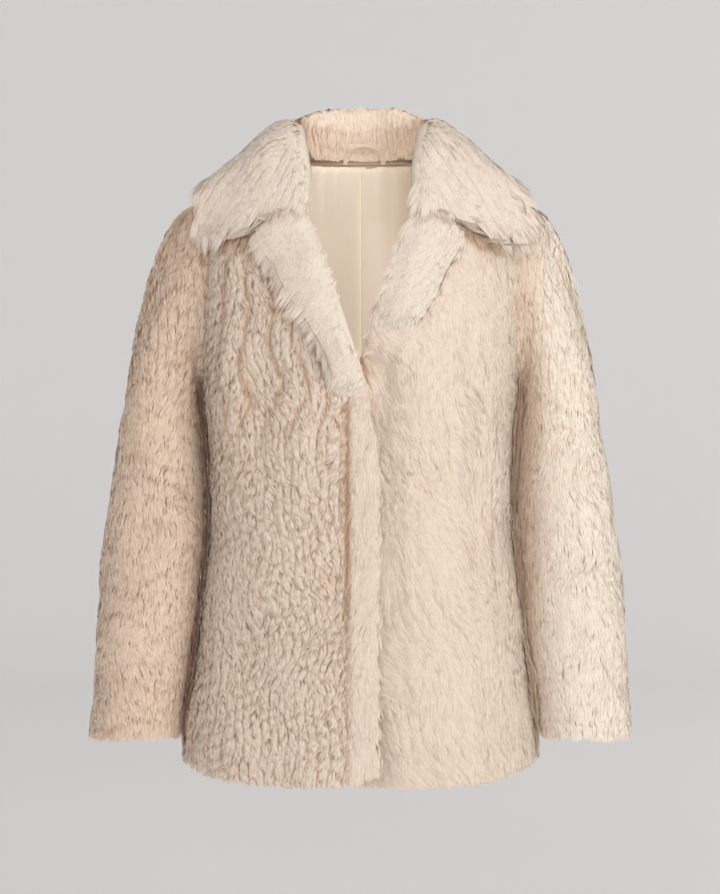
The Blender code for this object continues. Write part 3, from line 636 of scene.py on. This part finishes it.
def crevice_light(node, places, normals, close, shadow):
    """How much painted red-brown shade each tuft gets: in the crevices where pieces close on each other,
    mostly at the wearer's right, beside the left sleeve's side next to the body, under the leaves, and a
    little on the stand's inner wall. And how much painted light it gives out: some in the crevices at the
    wearer's left, and much on the collar's stand."""
    x, y, z = places.T
    painted_light = 0.3 * close * (x > 0)
    if node == "collar":
        inward = ease(-(from_neck(places) * normals).sum(axis=1) / 0.5)
        painted_light = painted_light + 0.9 * inward * (neck_radius(places) < 0.075) * (y > LEAF_FRONT)
    # painted shade, mostly at the wearer's right, the side in shade
    close = close * np.where(x > 0, 0.1, 0.9)
    if node == "sleeve_left":  # painted shade on its side next to the body
        close = np.maximum(close, 0.45 * ease((0.214 - x) / 0.025) * ease((z + 0.62) / 0.1))
    return np.maximum(close, 0.75 * shadow) + 0.10 * (node == "collar") * neck_side(places, normals), painted_light


def pile(node, finish):
    """The piece's strands as one mesh. A tuft's strands start side by side in the cloth, lie along
    the pile's flow, and draw together as they lift to its tip. They stand on the pile's relief, and
    their normals follow it and the tuft's own round back, so that it all shades as a soft surface."""
    part, (gap, *ranges, strands) = SURFACES[node], PILE[node]
    rng = np.random.default_rng(sorted(PILE).index(node) + 11)
    part.cover(gap * MM, rng)
    places, normals = roots(part, gap * MM)
    count, worn = len(places), node in WORN
    each = max(8, strands // count)
    smooth = brushed(node, places)
    width, length, lift = (
        (curly + (sleek - curly) * smooth) * MM * rng.uniform(0.86, 1.14, count) for curly, sleek in ranges
    )
    turn = sways(node, places, smooth) + (0.14 - 0.05 * smooth) * rng.normal(0, 1, count)
    ways = turned(flow(node, places, normals), normals, turn)
    if not worn:
        length = length * fringe(part, places, normals, ways, length)
    frames = stations(part, places, normals, ways, length)
    gaps = gaps_over(places, normals) if worn else np.full(count, CREVICE)
    close = (1 - ease((gaps / CREVICE - 0.6) / 0.4)) * ease((np.abs(places[:, 0]) - 0.12) / 0.02)
    reach = np.clip(gaps / 2 - 0.4 * MM, 0, 3.2 * MM) * close  # how far it stands out of a crevice
    shadow = under_leaf(node, places)
    # painted shade in the crevices and under the leaves, and painted light
    close, painted_light = crevice_light(node, places, normals, close, shadow)
    on_seam = neck_side(places, normals)[:, None] > 0.1
    hem = (places[:, 2] - part.hem_height(places))[:, None] if worn else None

    # from here on there is a row for each tuft and a column for each of its strands
    sleek, shape = np.repeat(smooth, each), (count, each)
    width, length, lift, smooth, reach, shadow = (
        amount[:, None] for amount in (width, length, lift, smooth, reach, shadow)
    )
    curly = 1 - smooth
    side = np.clip(rng.normal(0, 0.50, shape), -1.15, 1.15)
    early = rng.uniform(-0.5, 0.5, shape) * (0.6 * gap * MM)
    spare = length * (0.12 * rng.normal(0, 1, shape) - 0.06 * side**2)
    depth = rng.uniform(0, 1, shape) ** 1.5  # 0 for the strands that lie on top
    gather = 0.80 + 0.16 * smooth
    curl = rng.normal(0, 0.5 * MM, shape)
    dome = (0.6 - 0.45 * smooth) * MM * np.minimum(side**2, 1)
    bed = (0.8 - 0.5 * smooth) * MM * depth
    half = STRAND_WIDTH / 2 * rng.uniform(0.75, 1.3, shape)
    slant = rng.normal(0, 0.18, shape)
    lean = rng.normal(0, 0.13, shape + (2,))
    ragged_seam = rng.normal(0, 0.7 * MM, shape)
    level, upright = (half * np.cos(slant))[..., None], (half * np.sin(slant))[..., None]
    points, shading, creases = [], [], []
    for j, (place, normal, across) in enumerate(frames):
        sink = lapel_sink(node, place, normal)[:, None]
        place, normal, across = place[:, None], normal[:, None], across[:, None]
        forward = np.cross(across, normal)
        sideways = width / 2 * side * (1.0, 1.0, gather)[j] + (0, 1, -0.4)[j] * curl
        shift = early + KITE_SHARES[j] * spare
        point = place + shift[..., None] * forward + sideways[..., None] * across
        spots = point.reshape(-1, 3)
        height, crease = relief(node, spots, sleek)
        slopes = []
        for way in (across, forward):
            beyond, _ = relief(node, spots + RELIEF_STEP * np.repeat(way[:, 0], each, axis=0), sleek)
            slopes.append(np.clip((beyond - height) / RELIEF_STEP, -0.9, 0.9).reshape(shape))
        rise = (lift - 1.8 * MM, 0.9 * lift, 0.5 * lift)[j] - (dome + bed if j else 0)
        rise = rise + height.reshape(shape) + (reach - 2.5 * MM * shadow)
        point = point + rise[..., None] * normal + sink
        if worn and j:  # the tips end raggedly at the hem
            ragged = (1.5 * MM, rng.normal(-0.8 * MM, 1.2 * MM, shape))[j - 1]
            point[..., 2] = np.maximum(point[..., 2], hem + ragged)
        if node == "collar" and j:
            clear = np.maximum(point[..., 2], NECK_SEAM + ragged_seam)
            point[..., 2] = np.where(on_seam, clear, point[..., 2])
        round_back = (0.50 * curly + 0.12) * side + lean[..., 0] - slopes[0]
        tipping = (0.35 * curly + 0.08) * (j - 0.7) + lean[..., 1] - slopes[1]
        calm = 1 / np.sqrt(1 + (round_back**2 + tipping**2) / 1.2)
        round_back, tipping = calm * round_back, (calm * tipping)[..., None]
        for share in KITE_SIDES[j]:
            points.append(point + share * (level * across + upright * normal))
            rounded = (round_back + 0.15 * share)[..., None]
            shading.append(normal + rounded * across + tipping * forward)
            creases.append(crease.reshape(shape))

    per = len(points)
    points, shading, crease = (np.stack(amounts, axis=2) for amounts in (points, shading, creases))
    faces = (KITE_FACES[None] + per * np.arange(count * each)[:, None, None]).reshape(-1, 3)
    made = new_mesh_object(f"{node}_pile", points.reshape(-1, 3), faces, [finish])
    made.data.normals_split_custom_set_from_vertices(unit(shading).reshape(-1, 3))
    share_of = np.repeat(KITE_SHARES, [len(sides) for sides in KITE_SIDES])
    across_of = (np.repeat(side.ravel(), per)[faces.ravel()] + 1.2) / 2.4
    places_on = np.stack([across_of, share_of[faces.ravel() % per]], 1)
    layer = made.data.uv_layers.new(name="strand")
    layer.data.foreach_set("uv", places_on.astype(np.float32).ravel())
    tone = np.clip(0.55 + 0.17 * rng.normal(0, 1, shape) + 0.08 * rng.normal(0, 1, (count, 1)), 0, 1)
    # painted shade: darker at a curly tuft's sides, between the tufts, and on the strands that lie lower in
    # the pile
    beside, below = 0.25 * (curly * np.minimum(side**2, 1))[..., None], 0.2 * depth[..., None]
    crease = np.clip(crease + beside + below, 0, 1)
    tone, close, painted_light = tone[..., None], close[:, None, None], painted_light[:, None, None]
    for name, amount in (("tone", tone), ("crease", crease), ("close", close), ("painted_light", painted_light)):
        amount = np.broadcast_to(amount, shape + (per,))
        attribute = made.data.attributes.new(name, "FLOAT", "POINT")
        attribute.data.foreach_set("value", np.ascontiguousarray(amount, np.float32).ravel())
    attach(made, "root")
    return made


# ---------------- finishes
class Value:
    """A number or colour that changes over a surface. Arithmetic on it adds Math nodes."""

    def __init__(self, finish, socket):
        self.finish, self.socket = finish, socket

    def math(self, operation, *numbers):
        return self.finish.node("ShaderNodeMath", {"operation": operation}, dict(enumerate(numbers)))

    def __add__(self, other):
        return self.math("ADD", self, other)

    def __sub__(self, other):
        return self.math("SUBTRACT", self, other)

    def __rsub__(self, other):
        return self.math("SUBTRACT", other, self)

    def __mul__(self, other):
        return self.math("MULTIPLY", self, other)

    def clamped(self):
        return self.math("MAXIMUM", self.math("MINIMUM", self, 1.0), 0.0)

    __radd__, __rmul__ = __add__, __mul__


class Finish:
    """A material in the making. Numbers that are the same all over go straight to its shader."""

    def __init__(self, name, **constants):
        self.material = bpy.data.materials.new(name)
        self.material.use_nodes = True
        self.tree = self.material.node_tree
        self.shader = self.tree.nodes["Principled BSDF"]
        for socket, value in constants.items():
            self.shader.inputs[socket.replace("_", " ")].default_value = value

    def node(self, kind, settings=None, values=None, output=0):
        """A new node: its settings first, then its sockets' values or links. Gives one output."""
        made = self.tree.nodes.new(kind)
        for name, value in (settings or {}).items():
            setattr(made, name, value)
        for key, value in (values or {}).items():
            self.join(made.inputs[key], value)
        return Value(self, made.outputs[output])

    def join(self, socket, value):
        if isinstance(value, Value):
            self.tree.links.new(value.socket, socket)
        else:
            socket.default_value = value

    def feed(self, socket, value):
        """Links a value that changes over the surface to one of the shader's sockets."""
        self.join(self.shader.inputs[socket], value)

    def object_place(self):
        return self.node("ShaderNodeTexCoord", output="Object")

    def stretched(self, place, scale):
        """The place multiplied by a factor for each axis."""
        return self.node("ShaderNodeMapping", None, {"Vector": place, "Scale": scale}, "Vector")

    def noise(self, scale, detail, place=None):
        values = {"Vector": place or self.object_place(), "Scale": scale, "Detail": detail}
        return self.node("ShaderNodeTexNoise", None, values, "Fac")

    def ramp(self, amount, *stops):
        """Colours between these stops, each a position and a colour."""
        made = self.node("ShaderNodeValToRGB", None, {"Fac": amount}, "Color")
        elements = made.socket.node.color_ramp.elements
        for _ in stops[2:]:
            elements.new(0.5)
        for element, (position, colour) in zip(elements, stops):
            element.position, element.color = position, (*colour, 1.0)
        return made

    def mix(self, amount, low, high, blend="MIX"):
        """Two colours mixed, from low at 0 to high at 1."""
        low, high = (c if isinstance(c, Value) else (*c, 1.0) for c in (low, high))
        settings = {"data_type": "RGBA", "blend_type": blend}
        return self.node("ShaderNodeMix", settings, {0: amount, 6: low, 7: high}, 2)

    def bump(self, height, strength, distance):
        values = {"Height": height, "Strength": strength, "Distance": distance}
        return self.node("ShaderNodeBump", None, values, "Normal")


# What the pile's colour is multiplied by, each to its own share: warm patches, darker strands, and painted
# shade in the creases and the crevices. Then the painted light that it gives out.
WARM_PATCH = (1.0, 0.95, 0.87)
DARK_STRAND = (0.80, 0.66, 0.54)
CREASE_SHADE = (0.66, 0.46, 0.33)
CREVICE_SHADE = (0.70, 0.48, 0.36)
FAINT_PAINTED_LIGHT, STRONG_PAINTED_LIGHT = (0.022, 0.018, 0.014), (0.17, 0.132, 0.10)


def pile_finish(name, tip, body, root):
    """Strands: tan at the root and cream at the tip, each a little lighter or darker than the next, and
    warmer in patches. The root's tan also stands in for painted shade deep in the pile and shows more in
    the creases, which get painted brown shade as well. Where two pieces close on each other and under the
    leaves comes painted red-brown shade. The pile gives out a little warm painted light, and more between
    the pieces on the brighter side and on the collar's stand."""
    soft = dict(Roughness=0.85, Sheen_Weight=0.30, Sheen_Roughness=0.4, Specular_IOR_Level=0.12)
    finish = Finish(name, **soft, Emission_Strength=1.0)
    place = finish.node("ShaderNodeUVMap", {"uv_map": "strand"}, output="UV")
    along = finish.node("ShaderNodeSeparateXYZ", None, {0: place}, 1)
    tone, crease, close, painted_light = (
        finish.node("ShaderNodeAttribute", {"attribute_name": each}, output="Fac")
        for each in ("tone", "crease", "close", "painted_light")
    )
    # painted shade: the darker root colour shows more in the creases
    colour = finish.ramp(along + (1 - crease) * 0.35, (0.0, root), (0.45, body), (0.85, tip))
    patch = ((finish.noise(11.0, 2.0) - 0.50) * 3.0).clamped()
    colour = finish.mix(patch * 0.4, colour, WARM_PATCH, "MULTIPLY")
    colour = finish.mix((1 - tone) * 0.35, colour, DARK_STRAND, "MULTIPLY")
    # painted brown shade in the creases
    colour = finish.mix(crease * 0.85, colour, CREASE_SHADE, "MULTIPLY")
    # painted red-brown shade in the crevices and under the leaves
    colour = finish.mix(close * 0.9, colour, CREVICE_SHADE, "MULTIPLY")
    finish.feed("Base Color", colour)
    # painted light: a faint warm glow from the pile, stronger between the pieces at the wearer's left and
    # on the stand
    finish.feed("Emission Color", finish.mix(painted_light, FAINT_PAINTED_LIGHT, STRONG_PAINTED_LIGHT))
    return finish.material


def backing_finish(name, low, high):
    """The short pile between the tufts: upright streaks of two colours."""
    finish = Finish(name, Roughness=0.95, Specular_IOR_Level=0.1)
    streak = finish.noise(1.0, 3.0, finish.stretched(finish.object_place(), (420.0, 420.0, 60.0)))
    finish.feed("Base Color", finish.mix(streak, low, high))
    finish.feed("Normal", finish.bump(streak, 0.6, 0.002))
    return finish.material


def satin_finish(name, colour, shade, painted_light=0.0, sides=0.0):
    """Smooth satin with a fine weave, faint cloudy creases and narrow upright gathers, which gives out a
    little of its own colour as painted light. It may have painted shade towards its sides, where the fronts
    close over it."""
    gloss = dict(Roughness=0.42, Sheen_Weight=0.15, Specular_IOR_Level=0.35)
    finish = Finish(name, **gloss, Emission_Strength=painted_light)
    colours = finish.mix(finish.noise(22.0, 3.0), shade, colour)
    if sides:
        across = finish.node("ShaderNodeSeparateXYZ", None, {0: finish.object_place()}, 0)
        # painted shade towards the sides, where the fronts close over the lining
        dark = ((across - 0.022) * 30.0).clamped() + ((-0.048 - across) * 22.0).clamped() * 0.4
        colours = finish.mix(dark * sides, colours, (0.62, 0.52, 0.43), "MULTIPLY")
    finish.feed("Base Color", colours)
    # painted light: the satin glows with its own colours
    finish.feed("Emission Color", colours)
    place = finish.object_place()
    fine = {"Vector": place, "Scale": 900.0}
    weave = finish.node("ShaderNodeTexWave", {"bands_direction": "Z"}, fine, "Fac")
    narrow = finish.stretched(place, (70.0, 70.0, 9.0))
    creases = finish.noise(38.0, 3.0) + finish.noise(1.0, 1.0, narrow) * 2.0
    finish.feed("Normal", finish.bump(weave * 0.05 + creases, 0.25, 0.003))
    return finish.material


# ---------------- settings
def colour_setting(name, description, *default):
    return FloatVectorProperty(name=name, description=description, subtype="COLOR", default=default)


def power_setting(name, description, default):
    return FloatProperty(name=name, description=description, default=default, unit="POWER")


def depth_setting(name, description, default):
    return FloatProperty(name=name, description=description, default=default, unit="LENGTH")


class CoatLooks(bpy.types.PropertyGroup):
    """The coat's colours, how deep its cloth lies, and the power of the lights."""

    tip: colour_setting("Tips", "Colour of the pile's tips", 0.795, 0.69, 0.595)
    body: colour_setting("Pile", "Colour of the pile half way down", 0.745, 0.61, 0.495)
    root: colour_setting("Roots", "Colour of the pile at its roots", 0.66, 0.47, 0.33)
    satin: colour_setting("Satin", "Colour of the lining", 0.96, 0.89, 0.79)
    shell_depth: depth_setting("Pile depth", "How far the cloth lies under the tips", 0.0028)
    collar_depth: depth_setting("Collar pile depth", "The same on the collar and lapels", 0.0026)
    key_power: power_setting("Key light", "Power of the large light at the upper right", 58.0)
    fill_power: power_setting("Fill light", "Power of the light in front", 29.0)
    wall_power: power_setting("Wall light", "Power of the light on the wall", 20.0)


FLOOR_HEIGHT = -1.03
SLEEVE_LIGHT_TINTS = ((1.0, 0.94, 0.90), (1.12, 1.19, 1.22))  # painted shade on the right sleeve, darker and warmer, and painted light on the left sleeve, lighter
COLLAR_TINT = (1.03, 1.07, 1.10)


def looks():
    return bpy.context.scene.coat_looks


# ---------------- operators
class COAT_OT_stage(bpy.types.Operator):
    """Makes the camera, the lights and a pale floor that curves up into a wall all round"""

    bl_idname = "coat.stage"
    bl_label = "Studio"

    def execute(self, context):
        scene = context.scene
        scene.view_settings.view_transform = "Standard"
        lens = bpy.data.cameras.new("camera")
        lens.sensor_width = 36.0
        lens.lens = lens.sensor_width * CAMERA_DISTANCE / FRAME_HEIGHT
        camera = bpy.data.objects.new("camera", lens)
        camera.location = (AIM_X, -CAMERA_DISTANCE, AIM_Z)
        camera.rotation_euler = (np.pi / 2, 0, 0)
        scene.collection.objects.link(camera)
        scene.camera = camera

        world = bpy.data.worlds.new("studio")
        world.use_nodes = True
        sky = world.node_tree.nodes["Background"].inputs
        sky["Color"].default_value = (1.0, 0.965, 0.93, 1.0)
        sky["Strength"].default_value = 0.56
        scene.world = world
        coat, wall = (0.0, 0.0, -0.35), (1.2, 7.0, 0.0)
        for name, place, aim, size, power in (
            ("key", (2.3, -2.4, 1.0), coat, 2.4, looks().key_power),
            ("fill", (-0.6, -3.6, 0.4), coat, 1.6, looks().fill_power),
            ("wall", (3.0, 2.2, 1.2), wall, 2.0, looks().wall_power),
        ):
            lamp = bpy.data.lights.new(name, "AREA")
            lamp.energy, lamp.size, lamp.color = power, size, (1.0, 0.985, 0.96)
            made = bpy.data.objects.new(name, lamp)
            made.location = place
            made.rotation_euler = (Vector(aim) - Vector(place)).to_track_quat("-Z", "Y").to_euler()
            scene.collection.objects.link(made)

        # a level disc that turns up through a quarter circle, as a profile swept round
        round_way = np.linspace(0, 2 * np.pi, 97)[:-1, None]
        bend = np.linspace(0, np.pi / 2, 13)
        radius = np.concatenate([[0.01, 2.0, 4.0], 5.5 + 1.5 * np.sin(bend), [7.0]])
        height = np.concatenate([[0, 0, 0], 1.5 - 1.5 * np.cos(bend), [5.0]]) + FLOOR_HEIGHT
        ring = (radius * np.sin(round_way), radius * np.cos(round_way), height + 0 * round_way)
        points = np.stack(ring, axis=-1)
        rows, columns = points.shape[:2]
        i, j = np.meshgrid(np.arange(rows), np.arange(columns - 1), indexing="ij")
        a, b = i * columns + j, (i + 1) % rows * columns + j
        faces = np.stack([a, b, b + 1, a + 1], axis=-1).reshape(-1, 4)
        white = (0.93, 0.93, 0.94, 1.0)
        paper = Finish("studio_paper", Roughness=0.9, Specular_IOR_Level=0.1, Base_Color=white)
        new_mesh_object("floor", points.reshape(-1, 3), faces[:, ::-1], [paper.material])
        return {"FINISHED"}


def tinted(colour, shares):
    """A colour with these shares of its red, green and blue."""
    return tuple(min(amount * share, 1.0) for amount, share in zip(colour, shares))


def dress(nodes, depth, finish_name, tip, body):
    """Cloth and pile for these nodes."""
    root, satin = looks().root, looks().satin
    worn = nodes[0] in WORN
    ground = backing_finish(finish_name.replace("pile", "ground"), root if worn else body, tip)
    name, shade = "inside_satin", (0.70, 0.58, 0.44)
    inside = bpy.data.materials.get(name) or satin_finish(name, satin, shade)
    finish = pile_finish(finish_name, tip, body, root)
    for node in nodes:
        shell = cloth_shell(node, depth, [ground, inside])
        locks = pile(node, finish)


class COAT_OT_body(bpy.types.Operator):
    """Makes the fronts and the back"""

    bl_idname = "coat.body"
    bl_label = "Fronts and back"

    def execute(self, context):
        setting = looks()
        dress(BODY_PANELS, setting.shell_depth, "body_pile", setting.tip, setting.body)
        return {"FINISHED"}


class COAT_OT_sleeves(bpy.types.Operator):
    """Makes the two sleeves"""

    bl_idname = "coat.sleeves"
    bl_label = "Sleeves"

    def execute(self, context):
        setting = looks()
        for node, share in zip(SLEEVES, SLEEVE_LIGHT_TINTS):
            # each sleeve's colours lightened or darkened as painted light and shade
            tip, body = tinted(setting.tip, share), tinted(setting.body, share)
            dress((node,), setting.shell_depth, f"{node}_pile", tip, body)
        return {"FINISHED"}


class COAT_OT_collar(bpy.types.Operator):
    """Makes the collar and the lapels"""

    bl_idname = "coat.collar"
    bl_label = "Collar and lapels"

    def execute(self, context):
        setting = looks()
        tip, body = tinted(setting.tip, COLLAR_TINT), tinted(setting.body, COLLAR_TINT)
        dress(("collar",) + LAPELS, setting.collar_depth, "collar_pile", tip, body)
        return {"FINISHED"}


def halved(points, corners):
    """Each triangle split in four at the middles of its sides."""
    sides = np.sort(np.stack([corners, np.roll(corners, -1, axis=1)], axis=-1), axis=-1)
    ends, index = np.unique(sides.reshape(-1, 2), axis=0, return_inverse=True)
    (a, b, c), (ab, bc, ca) = corners.T, index.reshape(-1, 3).T + len(points)
    split = np.stack([a, ab, ca, ab, b, bc, ca, bc, c, ab, bc, ca], axis=1).reshape(-1, 3)
    return np.concatenate([points, points[ends].mean(axis=1)]), split


# The lining's gathers at the neck seam and its long folds below: place across, width and height.
GATHERS = (
    (-0.053, 0.0060, 0.0030), (-0.036, 0.0050, 0.0024), (-0.022, 0.0045, 0.0016), (0.024, 0.0060, 0.0026),
    (0.047, 0.0060, 0.0020), (-0.080, 0.0070, 0.0026), (0.082, 0.0070, 0.0026),
)
LONG_FOLDS = (
    (-0.046, 0.016, 0.0050), (-0.100, 0.020, 0.0060), (0.036, 0.013, 0.0045), (0.074, 0.018, 0.0060),
    (0.125, 0.020, 0.0060), (-0.145, 0.018, 0.0050),
)


def lining_drape(points):
    """Both walls moved towards the middle line of the coat by soft ridges: short ones, which fade
    out under the neck seam, and long ones, which start under the yoke and lean a little."""
    x, z = points[:, 0], points[:, 2]
    short, long = ease((z + 0.100) / 0.07), ease((-0.06 - z) / 0.10)
    rise = sum(2.4 * height * short * ridge(x - at, width) for at, width, height in GATHERS)
    rise = rise + sum(
        height * long * ridge(x - at - 0.04 * at * np.sin(9 * z), width) for at, width, height in LONG_FOLDS
    )
    return points - rise[:, None] * unit(points * [1, 1, 0])


class COAT_OT_lining(bpy.types.Operator):
    """Makes the satin lining of the back in two halves"""

    bl_idname = "coat.lining"
    bl_label = "Lining"

    def execute(self, context):
        # painted light over the whole lining, and painted shade towards its sides
        finish = satin_finish("lining_satin", looks().satin, (0.93, 0.82, 0.69), 0.25, 0.65)
        for node in LININGS:
            points, corners = halved(*halved(SURFACES[node].points, SURFACES[node].corners))
            made = new_mesh_object(f"{node}_satin", lining_drape(points), corners, [finish])
            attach(made, "root")
            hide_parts(node)
        return {"FINISHED"}


def tube(name, path, radius, finish, sides=8):
    """A round profile carried along a path: at each point a circle across the way to the next one."""
    ways = unit(np.gradient(path, axis=0))
    across = unit(np.cross(ways, [0.0, 0.0, 1.0]))
    upright = np.cross(across, ways)
    angle = np.linspace(0, 2 * np.pi, sides + 1)[:-1, None, None]
    ring = path + radius * (np.cos(angle) * across + np.sin(angle) * upright)
    points = np.concatenate([ring.transpose(1, 0, 2).reshape(-1, 3), path[[0, -1]]])
    i, j = (grid.ravel() for grid in np.meshgrid(np.arange(len(path) - 1), np.arange(sides), indexing="ij"))
    k = (j + 1) % sides
    a, b, c, d = i * sides + j, i * sides + k, (i + 1) * sides + j, (i + 1) * sides + k
    around, last = np.arange(sides), (len(path) - 1) * sides
    cap, beyond = np.roll(around, -1), len(points) - 2
    faces = np.concatenate([np.stack(three, 1) for three in (
        (a, c, b), (b, c, d),
        (around, cap, beyond + 0 * cap), (last + cap, last + around, beyond + 1 + 0 * cap),
    )])
    return new_mesh_object(name, points, faces, [finish])


class COAT_OT_loop(bpy.types.Operator):
    """Gives the hanger loop its satin and makes the piping along the neck seam"""

    bl_idname = "coat.loop"
    bl_label = "Hanger loop and piping"

    def execute(self, context):
        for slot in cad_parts["hanger_loop"].material_slots:
            # a faint painted light on the loop's satin
            slot.material = satin_finish("loop_satin", (0.92, 0.80, 0.68), (0.80, 0.64, 0.50), 0.05)
        top = np.concatenate([SURFACES[node].points for node in LININGS])
        top = top[top[:, 2] > top[:, 2].max() - 0.004]
        angle = np.arctan2(top[:, 0], top[:, 1])
        order = np.argsort(angle)
        seam = np.linspace(angle.min() * 0.97, angle.max() * 0.97, 61)
        radius = np.interp(seam, angle[order], np.hypot(top[:, 0], top[:, 1])[order])
        radius = np.convolve(np.pad(radius, 3, "edge"), np.full(7, 1 / 7), "valid") - 2.2 * MM
        level = 0 * seam + top[:, 2].max() + 1.0 * MM
        path = np.stack([radius * np.sin(seam), radius * np.cos(seam), level], axis=1)
        satin = satin_finish("piping_satin", (0.62, 0.42, 0.33), (0.52, 0.34, 0.26))
        piping = tube("neck_piping", path, 1.1 * MM, satin)
        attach(piping, "root")
        return {"FINISHED"}


class COAT_PT_panel(bpy.types.Panel):
    """Lists the coat's pieces and its settings"""

    bl_label = "Faux fur coat"
    bl_idname = "COAT_PT_panel"
    bl_space_type = "VIEW_3D"
    bl_region_type = "UI"
    bl_category = "Coat"

    def draw(self, context):
        for operator in OPERATORS:
            self.layout.operator(operator.bl_idname)
        for name in CoatLooks.__annotations__:
            self.layout.prop(context.scene.coat_looks, name)


OPERATORS = (COAT_OT_stage, COAT_OT_body, COAT_OT_sleeves, COAT_OT_collar, COAT_OT_lining, COAT_OT_loop)
CLASSES = (CoatLooks, *OPERATORS, COAT_PT_panel)
SURFACES = {node: Surface(node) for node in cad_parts}
SOLIDS, LEAVES = frame_tree(), leaf_tree()


def register():
    for item in CLASSES:
        bpy.utils.register_class(item)
    bpy.types.Scene.coat_looks = PointerProperty(type=CoatLooks)


def unregister():
    del bpy.types.Scene.coat_looks
    for item in reversed(CLASSES):
        bpy.utils.unregister_class(item)


def main():
    register()
    bpy.ops.coat.stage()
    bpy.ops.coat.body()
    bpy.ops.coat.sleeves()
    bpy.ops.coat.collar()
    bpy.ops.coat.lining()
    bpy.ops.coat.loop()


if __name__ == "__main__":
    main()
